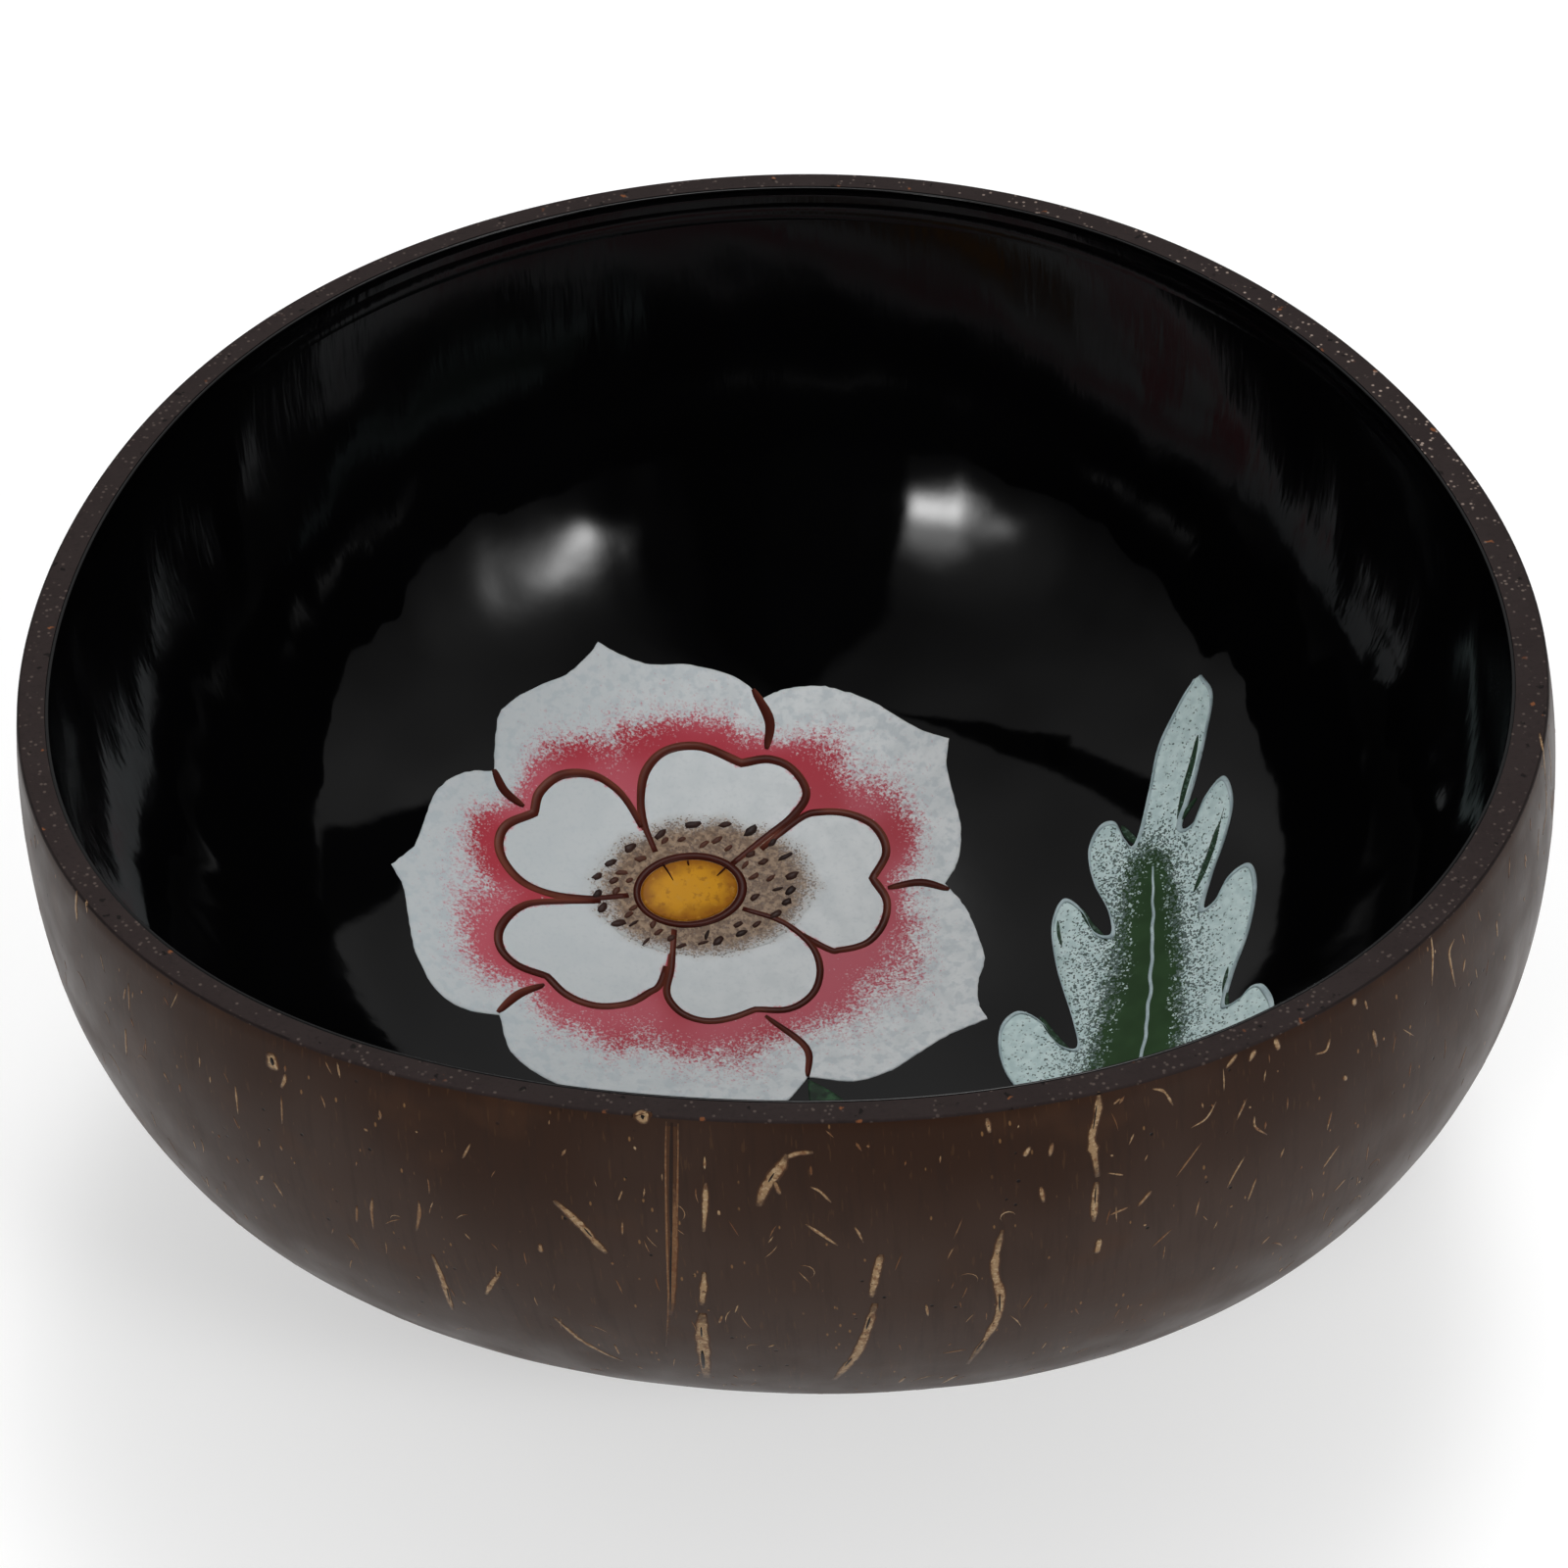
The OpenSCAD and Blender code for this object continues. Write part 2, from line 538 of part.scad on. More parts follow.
// The lobed green leaf, in rows from side to side across the lines inside it
module leaf_blade() {
    rows = [for (i = [0:len(leaf_middle) - 1]) [
        leaf_right[i], half_share * (leaf_right[i] + core_right[i]), core_right[i], leaf_middle[i],
        core_left[i], half_share * (leaf_left[i] + core_left[i]), leaf_left[i]]];
    color("#5d7f6c") body([painted(leaf_place, strip_sheet(rows), first_coat)]);
}

// The pale line along the leaf's edge, one stroke a side
module leaf_edge() {
    right = leaf_border(leaf_right, core_right);
    left = [for (row = leaf_border(leaf_left, core_left)) [row[1], row[0]]];
    color("#b9c8cc") body([for (rows = [right, left])
        painted(leaf_place, strip_sheet(rows), second_coat)]);
}

// The pale midrib, from the first notches to the stalk
module leaf_midrib() {
    from = len(leaf_shares[0][0]) * leaf_steps - 1;
    line = part_of(leaf_middle, from, len(leaf_middle) - len(last(leaf_shares)[0]));
    color("#9fb5ae") body([painted(leaf_place, stroke_sheet(line, rib_w), second_coat)]);
}

// The small dark leaf whose top shows under the flower
module small_leaf() {
    top = flower_reach * sprig_top_shares;
    n = sprig_steps;
    side = [for (i = [1:n - 1]) [sprig_w / 2 * sin(180 * i / n), -sprig_l * i / n]];
    loop = concat([top], [for (p = side) top + p],
        [top - [0, sprig_l]], [for (i = [n - 2:-1:0]) top + [-side[i].x, side[i].y]]);
    sheet = fan_sheet(loop, top - [0, sprig_l / 2], oval_ring_shares);
    color("#23402b") body([painted(flower_place, sheet, first_coat)]);
}

coconut_shell();
lacquer_lining();
outer_petals();
inner_petals();
petal_outlines();
stamen_disc();
stamen_seeds();
flower_heart();
heart_ring();
leaf_blade();
leaf_edge();
leaf_midrib();
small_leaf();
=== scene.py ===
import math
import random

import bpy
import numpy as np
from mathutils import Matrix, Vector, noise
from mathutils.bvhtree import BVHTree


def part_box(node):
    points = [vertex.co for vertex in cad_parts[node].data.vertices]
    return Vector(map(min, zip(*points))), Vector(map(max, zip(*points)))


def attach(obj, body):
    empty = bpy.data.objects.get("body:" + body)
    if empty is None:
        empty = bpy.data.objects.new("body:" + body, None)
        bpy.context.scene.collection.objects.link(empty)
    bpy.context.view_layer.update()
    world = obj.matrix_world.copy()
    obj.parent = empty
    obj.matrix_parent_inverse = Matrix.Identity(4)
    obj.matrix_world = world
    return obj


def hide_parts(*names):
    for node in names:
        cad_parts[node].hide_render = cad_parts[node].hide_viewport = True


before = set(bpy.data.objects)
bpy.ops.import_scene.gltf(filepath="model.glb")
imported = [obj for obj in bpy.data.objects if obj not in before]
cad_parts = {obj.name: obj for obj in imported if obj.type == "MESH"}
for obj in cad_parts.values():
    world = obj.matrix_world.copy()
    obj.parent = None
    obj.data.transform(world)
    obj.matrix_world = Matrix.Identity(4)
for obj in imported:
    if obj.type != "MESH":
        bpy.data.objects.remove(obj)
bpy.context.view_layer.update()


# The view. The photographer stands well back from the near side of the bowl and looks down into it
# at about forty degrees, through a long lens that is held a little off level.
MM = 0.001
photo_width = 1600
camera_place = Vector((-2.6, -389.95, 373.45)) * MM
camera_aim = Vector((-2.7, -23.68, 60.5)) * MM
camera_roll = math.radians(-0.95)
forward = (camera_aim - camera_place).normalized()
level = forward.cross(Vector((0, 0, 1))).normalized()
upright = level.cross(forward)
camera_right = level * math.cos(camera_roll) + upright * math.sin(camera_roll)
camera_up = upright * math.cos(camera_roll) - level * math.sin(camera_roll)
lens = bpy.data.cameras.new("camera")
lens.lens = 129.06
lens.sensor_width = 36
camera = bpy.data.objects.new("camera", lens)
turned = Matrix((camera_right, camera_up, -forward)).transposed().to_4x4()
camera.matrix_world = Matrix.Translation(camera_place) @ turned
bpy.context.scene.collection.objects.link(camera)
bpy.context.scene.camera = camera


def sight(x, y):
    """The way from the camera through a pixel of the photograph."""
    far = photo_width * lens.lens / lens.sensor_width
    return (forward * far + camera_right * (x - photo_width / 2)
            - camera_up * (y - photo_width / 2)).normalized()


# The shell is half a coconut, sawn level, sanded flat underneath and polished outside. The nut grew
# with three weak lobes, so no level of it is quite round, and its rim is left matt from the paper.
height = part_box("coconut_shell")[1].z / MM
belly_r = 68.3
belly_drop = 10.5
base_r = 19
fullness = 2.28
rim_shift = 2.6
shell_wall = 2.3
shell_floor = 2.7
thick_right = 0.25
thick_flanks = 0.25
lobes = ((3, 87.7, 1.7), (4, 42.9, 0.55), (5, -1.8, 0.25))
eye = height - belly_drop
shell_depth = eye / (1 - (base_r / belly_r) ** fullness) ** (1 / fullness)


def girth(a):
    """Outside radius at the belly in the compass direction a."""
    return belly_r + sum(rise * np.cos(n * (a - math.radians(turn))) for n, turn, rise in lobes)


def hollow_girth(a):
    """Inside radius of the bare shell at the belly."""
    return girth(a) - shell_wall - thick_right * np.cos(a) - thick_flanks * np.cos(2 * a)


def look(a, up):
    """A direction from the belly's middle: a is its compass direction, up its angle from below."""
    a, up = np.broadcast_arrays(a, up)
    return np.stack([np.sin(up) * np.cos(a), np.sin(up) * np.sin(a), -np.cos(up)], -1)


def wall_reach(way, width, depth):
    """How far a wall lies from the belly's middle along way."""
    side = np.hypot(way[..., 0], way[..., 1]) / width
    down = np.abs(way[..., 2]) / depth
    return (side ** fullness + down ** fullness) ** (-1 / fullness)


def lean_over(points):
    """Points of the upright nut, leant over to the side."""
    points = np.array(points, float)
    points[..., 0] -= rim_shift * points[..., 2] / height
    return points


def level_reach(width, depth, z):
    """How far a wall lies from the middle at the height z over the belly."""
    return width * (1 - (abs(z) / depth) ** fullness) ** (1 / fullness)


def level_up(width, depth, z):
    """The angle from below at which a wall reaches the height z over the belly."""
    return math.pi / 2 + np.arctan(z / level_reach(width, depth, z))


def drift(points, size, seed):
    """Smooth random heights from -1 to 1 whose hills are about size millimetres across."""
    shift = Vector((seed, 2 * seed, 3 * seed))
    flat = np.asarray(points, float).reshape(-1, 3) / size
    return np.array([noise.noise(Vector(p) + shift) for p in flat]).reshape(np.shape(points)[:-1])


def ease(x, low, high):
    """0 up to low, 1 from high on, and a smooth step between."""
    t = np.clip((x - low) / (high - low), 0, 1)
    return t * t * (3 - 2 * t)


polish_swell = 0.14  # how far hand polishing leaves the outside off its true curve
calm_foot = (0.5, 8)  # the swell comes in between these heights over the foot
calm_rim = (6, 0.5)  # and goes out between these depths under the rim


def outside(a, up, proud=0.0):
    """The polished wall's point in a direction, raised by proud."""
    way = look(a, up)
    reach = wall_reach(way, girth(a), shell_depth)
    z = eye + reach * way[..., 2]
    calm = ease(z, *calm_foot) * (1 - ease(z, height - calm_rim[0], height - calm_rim[1]))
    hills = 0.7 * drift(way * belly_r, 17, 3) + 0.3 * drift(way * belly_r, 7, 8)
    reach = reach + polish_swell * calm * hills + proud
    return lean_over(np.array([0, 0, eye]) + reach[..., None] * way)


def bands(rows, around):
    """Four-sided faces between closed rings of points."""
    return [(i * around + j, i * around + (j + 1) % around,
             (i + 1) * around + (j + 1) % around, (i + 1) * around + j)
            for i in range(rows - 1) for j in range(around)]


def new_piece(name, points, faces, finish):
    """A smooth-shaded piece that rides on the bowl, from points in millimetres."""
    mesh = bpy.data.meshes.new(name)
    mesh.from_pydata((np.asarray(points) * MM).tolist(), [], faces)
    for material in finish:
        mesh.materials.append(material)
    mesh.shade_smooth()
    piece = bpy.data.objects.new(name, mesh)
    bpy.context.scene.collection.objects.link(piece)
    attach(piece, "root")
    return piece


def mark(piece, name, values):
    """Gives each point of a piece a number or a vector that its finish reads."""
    values = np.asarray(values, float)
    kind = "FLOAT_VECTOR" if values.ndim == 2 else "FLOAT"
    layer = piece.data.attributes.new(name, kind, "POINT")
    layer.data.foreach_set("vector" if values.ndim == 2 else "value", values.ravel())


def colour(r, g, b):
    """A colour as a paint card gives it, 0 to 255, in the renderer's own scale."""
    return tuple((c / 255 / 12.92 if c < 11 else ((c / 255 + 0.055) / 1.055) ** 2.4)
                 for c in (r, g, b)) + (1,)


class Finish:
    """A finish under construction. Each call adds one step and returns what it puts out."""

    def __init__(self, name, ground=None):
        self.material = ground or bpy.data.materials.new(name)
        self.material.use_nodes = True
        self.tree = self.material.node_tree
        self.tree.nodes.clear()
        self.spot = None

    def add(self, kind, out=0, settings=None, **inputs):
        """One step. Its inputs go by name, or by number where a name starts with _."""
        step = self.tree.nodes.new("ShaderNode" + kind)
        for key, value in (settings or {}).items():
            setattr(step, key, value)
        for key, value in inputs.items():
            place = int(key[1:]) if key[0] == "_" else key.replace("_", " ")
            if isinstance(value, bpy.types.NodeSocket):
                self.tree.links.new(value, step.inputs[place])
            else:
                step.inputs[place].default_value = value
        return step.outputs[out] if step.outputs else None

    def read(self, name):
        """A number that the piece's points carry."""
        return self.add("Attribute", 2, {"attribute_name": name})

    def read_place(self, name):
        """A place that the piece's points carry."""
        return self.add("Attribute", 1, {"attribute_name": name})

    def place(self):
        """The place on the piece in millimetres."""
        if self.spot is None:
            self.spot = self.add("VectorMath", 0, {"operation": "SCALE"},
                                 _0=self.add("TexCoord", "Object"), Scale=1 / MM)
        return self.spot

    def level(self, axis):
        """One coordinate of the place: 0 to the right, 1 to the back, 2 up."""
        return self.add("SeparateXYZ", axis, Vector=self.place())

    def stretch(self, place, x, y, z):
        """A place with its axes scaled, to draw a pattern out along one of them."""
        return self.add("VectorMath", 0, {"operation": "MULTIPLY"}, _0=place, _1=(x, y, z))

    def clouds(self, size, detail=2.0, rough=0.5, place=None):
        """Soft noise from about 0.3 to 0.7, with hills of about size millimetres."""
        return self.add("TexNoise", 0, Vector=place or self.place(), Scale=1 / size,
                        Detail=detail, Roughness=rough)

    def adrift(self, size, detail, amount):
        """Soft noise round 0."""
        return self.times(self.less(self.clouds(size, detail), 0.5), amount)

    def grains(self, place, size, out="Distance"):
        """Cells about size millimetres across: the distance from a cell's middle, or its colour."""
        return self.add("TexVoronoi", out, Vector=place, Scale=1 / size)

    def sum(self, a, b, action="ADD"):
        """Two numbers taken together."""
        return self.add("Math", 0, {"operation": action}, _0=a, _1=b)

    def times(self, a, b):
        return self.sum(a, b, "MULTIPLY")

    def less(self, a, b):
        return self.sum(a, b, "SUBTRACT")

    def step(self, value, low, high):
        """0 up to low, 1 from high on, smooth between. With low over high it falls."""
        if low < high:
            return self.add("MapRange", 0, {"interpolation_type": "SMOOTHSTEP"}, Value=value,
                            From_Min=low, From_Max=high)
        rise = self.step(value, high, low)
        return self.less(1.0, rise)

    def mix(self, share, a, b):
        """Colour a where share is 0, colour b where it is 1."""
        return self.add("Mix", 2, {"data_type": "RGBA"}, _0=share, _6=a, _7=b)

    def veil(self, tone, other, size, detail, low, high, share=None):
        """A tone with clouds of another over it, where the noise passes from low to high."""
        cloud = self.step(self.clouds(size, detail), low, high)
        return self.mix(cloud if share is None else self.times(cloud, share), tone, other)

    def bump(self, relief, depth):
        """A relief of at most depth millimetres."""
        return self.add("Bump", 0, Height=relief, Distance=depth * MM, Strength=1.0)

    def shine(self, **inputs):
        """The surface itself."""
        surface = self.add("BsdfPrincipled", **inputs)
        self.add("OutputMaterial", Surface=surface)
        return self.material


def polished_shell():
    """Dark brown shell, warmer near the rim and paler grey lower down as painted sheen and painted
    light, with streaks along the nut and fine pale flecks.
    """
    f = Finish("polished_coconut_shell")
    grain = f.read_place("grain")
    spot = f.place()
    # The warm brown near the rim is the shell's own colour. The paler grey brown lower down is
    # painted sheen and painted light for the lower wall.
    rim_warmth_and_painted_light = f.sum(f.step(f.level(2), 30, 60), f.adrift(22, 2, 1.6))
    tone = f.mix(f.step(rim_warmth_and_painted_light, 0.1, 1.15), colour(60, 46, 39), colour(42, 24, 13))
    rusty = f.step(f.clouds(9, 3), 0.56, 0.72)
    tone = f.mix(f.times(rusty, 0.35), tone, colour(66, 42, 25))
    streak = f.clouds(0.7, 3, 0.6, f.stretch(grain, 1, 1, 0.09))
    tone = f.mix(f.times(f.step(streak, 0.5, 0.68), 0.22), tone, colour(30, 20, 15))
    hair = f.clouds(0.3, 1, place=f.stretch(grain, 1, 1, 0.14))
    tone = f.mix(f.times(f.step(hair, 0.66, 0.75), 0.16), tone, colour(104, 74, 46))
    dots = f.grains(f.stretch(grain, 1, 1, 0.4), 0.9)
    chosen = f.step(f.clouds(2.2, 0), 0.55, 0.62)
    dot = f.times(f.step(dots, 0.14, 0.08), chosen)
    tone = f.mix(f.times(dot, 0.6), tone, colour(140, 104, 66))
    pits = f.grains(spot, 2.1)
    pit = f.times(f.step(pits, 0.10, 0.05), f.step(f.clouds(7, 0), 0.5, 0.6))
    tone = f.mix(pit, tone, colour(14, 9, 8))
    relief = f.less(f.times(f.clouds(0.5, 2, place=grain), 0.2), pit)
    dull = f.add("MapRange", Value=f.clouds(6, 3), From_Min=0.3, From_Max=0.7,
                 To_Min=0.32, To_Max=0.46)
    return f.shine(Base_Color=tone, Roughness=dull, Normal=f.bump(relief, 0.03),
                   Specular_IOR_Level=0.08)


def sanded_shell():
    """The sawn edge and the flat underneath, matt grey-brown from sandpaper, with tan flecks."""
    f = Finish("sanded_coconut_shell")
    spot = f.place()
    tone = f.mix(f.clouds(5, 3), colour(31, 23, 22), colour(42, 34, 33))
    tone = f.veil(tone, colour(27, 21, 20), 0.5, 2, 0.5, 0.7, 0.4)
    warp = f.add("TexNoise", 1, Vector=spot, Scale=1.6, Detail=3.0)
    worn = f.add("VectorMath", 0, {"operation": "MULTIPLY_ADD"}, _0=warp, _1=(1.1, 1.1, 1.1),
                 _2=spot)
    fleck = f.times(f.step(f.grains(worn, 1.9), 0.17, 0.08), f.step(f.clouds(4, 0), 0.54, 0.62))
    tone = f.mix(f.times(fleck, 0.75), tone, colour(120, 72, 42))
    right_back = f.times(f.step(f.level(0), -10, 50), f.step(f.level(1), -10, 35))
    grit = f.times(f.step(f.grains(spot, 0.62), 0.30, 0.16), f.step(f.clouds(2, 1), 0.44, 0.54))
    grit = f.times(grit, f.sum(f.times(right_back, 0.75), 0.16))
    tone = f.mix(grit, tone, colour(150, 134, 124))
    pit = f.times(f.step(f.grains(worn, 1.7), 0.18, 0.12), f.step(f.clouds(2.5, 0), 0.46, 0.52))
    tone = f.mix(f.times(pit, 0.9), tone, colour(12, 8, 7))
    relief = f.less(f.times(f.clouds(0.18, 1), 0.5), pit)
    return f.shine(Base_Color=tone, Roughness=0.62, Normal=f.bump(relief, 0.03),
                   Specular_IOR_Level=0.08)


def painted_shade_arris():
    """The sharp outer edge of the sawn rim, painted dark: a line of painted shade along the edge."""
    f = Finish("painted_shade_edge")
    tone = f.mix(f.clouds(1.5, 3), colour(14, 9, 8), colour(34, 26, 25))
    return f.shine(Base_Color=tone, Roughness=0.5, Specular_IOR_Level=0.08)


around = 480
compass = np.linspace(0, 2 * math.pi, around, endpoint=False)
outer_girth = girth(compass)
arris = 0.2
arris_rows = 4
base_ease = 0.2
wall_rows = 72
low = level_up(outer_girth, shell_depth, base_ease - eye)
high = level_up(outer_girth, shell_depth, belly_drop - arris)


def level_ring(reach, z):
    """A ring of points at a height, each its own reach from the middle."""
    return lean_over(np.stack([reach * np.cos(compass), reach * np.sin(compass),
                               np.full(around, z)], -1))


base_ring = level_reach(outer_girth, shell_depth, -eye)
rim_ring = level_reach(outer_girth, shell_depth, belly_drop)
inner_girth = hollow_girth(compass)
hollow_depth = eye - shell_floor
hollow_ring = level_reach(inner_girth, hollow_depth, belly_drop)
foot_shares = (0.05, 0.35, 0.7, 1)
sawn_shares = (0.15, 0.4, 0.65, 0.9, 1)
shell_rows = [level_ring((base_ring - base_ease) * share, 0) for share in foot_shares]
shell_rows.append(level_ring(base_ring - 0.3 * base_ease, 0.3 * base_ease))
shell_rows += [outside(compass, low + (high - low) * k / wall_rows) for k in range(wall_rows + 1)]
sanded_from = len(shell_rows)
for k in range(1, arris_rows + 1):
    bend = math.pi / 2 * k / arris_rows
    shell_rows.append(level_ring(rim_ring - arris * (1 - math.cos(bend)),
                                 height - arris * (1 - math.sin(bend))))
for share in sawn_shares:
    shell_rows.append(level_ring(rim_ring - arris + share * (hollow_ring - rim_ring + arris),
                                 height))
bare_rows = 40
for k in range(1, bare_rows):
    up = level_up(inner_girth, hollow_depth, belly_drop) * (1 - k / bare_rows)
    way = look(compass, up)
    reach = wall_reach(way, inner_girth, hollow_depth)
    shell_rows.append(lean_over(np.array([0, 0, eye]) + reach[:, None] * way))
shell_points = np.concatenate(shell_rows)
shell_faces = bands(len(shell_rows), around)
last_ring = (len(shell_rows) - 1) * around
shell_faces.append(tuple(reversed(range(around))))
shell_faces.append(tuple(last_ring + j for j in range(around)))
shell = new_piece("coconut_shell_skin", shell_points, shell_faces,
                  [polished_shell(), sanded_shell(), painted_shade_arris()])
# The third finish, worn, is painted shade along the outer arris.
polished, sanded, worn = 0, 1, 2
kinds = np.full(len(shell_faces), polished)
kinds[:len(foot_shares) * around] = sanded
kinds[(sanded_from - 1) * around:] = sanded
# The arris rows get the painted shade all round but for the near side.
arris_bands = kinds[(sanded_from - 1) * around:][:arris_rows * around].reshape(arris_rows, around)
arris_bands[1:, np.sin(compass) > -0.8] = worn  # all round but for the near side
shell.data.polygons.foreach_set("material_index", kinds)
shell.data.set_sharp_from_angle(angle=math.radians(50))
steps = np.linalg.norm(np.diff(np.array(shell_rows), axis=0), axis=2)
run = np.concatenate([np.zeros((1, around)), np.cumsum(steps, 0)])
mark(shell, "grain", np.stack([np.tile(belly_r * np.cos(compass), len(shell_rows)),
                               np.tile(belly_r * np.sin(compass), len(shell_rows)),
                               run.ravel()], -1))
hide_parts("coconut_shell")


# Fibres of the husk root in the shell and stay there when it is polished flush: fine tan hairs and
# dashes all over, most of them along the nut, with some curled ones and dots where they end on.
def outward(a, up):
    """The ways straight out of the polished wall."""
    small = 1e-4
    right = outside(a + small, up) - outside(a - small, up)
    rise = outside(a, up + small) - outside(a, up - small)
    right /= np.linalg.norm(right, axis=-1, keepdims=True)
    rise /= np.linalg.norm(rise, axis=-1, keepdims=True)
    return np.cross(right, rise)


def sliver(line, out, widths, proud, sunk):
    """A thin ribbon let into a wall along a line, closed all round, pointed where its width ends."""
    line = np.asarray(line)
    along = np.gradient(line, axis=0)
    side = np.cross(along, out)
    side /= np.linalg.norm(side, axis=-1, keepdims=True)
    half = np.asarray(widths)[:, None] / 2
    ring = np.stack([line - side * half - out * sunk, line - side * half * 0.8 + out * proud,
                     line + side * half * 0.8 + out * proud, line + side * half - out * sunk], 1)
    count = len(line)
    faces = [(i * 4 + k, i * 4 + (k + 1) % 4, i * 4 + 4 + (k + 1) % 4, i * 4 + 4 + k)
             for i in range(count - 1) for k in range(4)]
    faces += [(3, 2, 1, 0), tuple(count * 4 - 4 + k for k in range(4))]
    return ring.reshape(-1, 3), faces


def join_up(parts):
    """Several lists of points and faces as one."""
    points, faces = [], []
    count = 0
    for some, more in parts:
        points.append(some)
        faces += [tuple(v + count for v in face) for face in more]
        count += len(some)
    return np.concatenate(points), faces


def fibre_finish():
    """Tan fibre with paler threads, browner at its edges, lost in the shell's brown at its ends."""
    f = Finish("polished_fibre")
    spot = f.place()
    kind = f.read("tone")
    tone = f.mix(kind, colour(98, 64, 38), colour(152, 126, 94))
    tone = f.mix(f.times(f.step(f.clouds(0.28, 2), 0.5, 0.62), f.times(kind, 0.7)), tone,
                 colour(178, 156, 126))
    tone = f.veil(tone, colour(96, 58, 32), 0.6, 3, 0.53, 0.64, 0.7)
    side = f.sum(f.read("across"), 0.0, "ABSOLUTE")
    side = f.sum(side, f.adrift(0.35, 3, 1.5))
    tone = f.mix(f.times(f.step(side, 0.5, 0.9), 0.75), tone, colour(84, 50, 28))
    hole = f.times(f.step(f.grains(spot, 0.55), 0.17, 0.09), f.step(kind, 0.45, 0.55))
    tone = f.mix(f.times(hole, 0.85), tone, colour(26, 15, 9))
    end = f.sum(f.read("end"), f.adrift(0.5, 2, 0.8))
    tone = f.mix(f.times(f.step(end, 0.45, 0.0), 0.8), tone, colour(62, 42, 30))
    tone = f.mix(f.step(kind, -0.1, -0.5), tone, colour(58, 36, 21))
    tone = f.mix(f.step(kind, -0.6, -0.9), tone, colour(20, 11, 7))
    return f.shine(Base_Color=tone, Roughness=0.42, Specular_IOR_Level=0.1,
                   Normal=f.bump(f.clouds(0.15, 2), 0.02))


def smooth(points, steps):
    """A smooth line through points, with steps between each two."""
    points = [np.asarray(p, float) for p in points]
    points = [2 * points[0] - points[1]] + points + [2 * points[-1] - points[-2]]
    line = []
    for p, q, r, s in zip(points, points[1:], points[2:], points[3:]):
        for k in range(steps):
            t = k / steps
            line.append((2 * q + (r - p) * t + (2 * p - 5 * q + 4 * r - s) * t * t
                         + (3 * q - p - 3 * r + s) * t * t * t) / 2)
    return np.array(line + [points[-2]])


def met(tree, x, y):
    """The place where the sight through a pixel meets a wall, and the wall's way out there."""
    return tree.ray_cast(camera_place, sight(x, y))[:2]


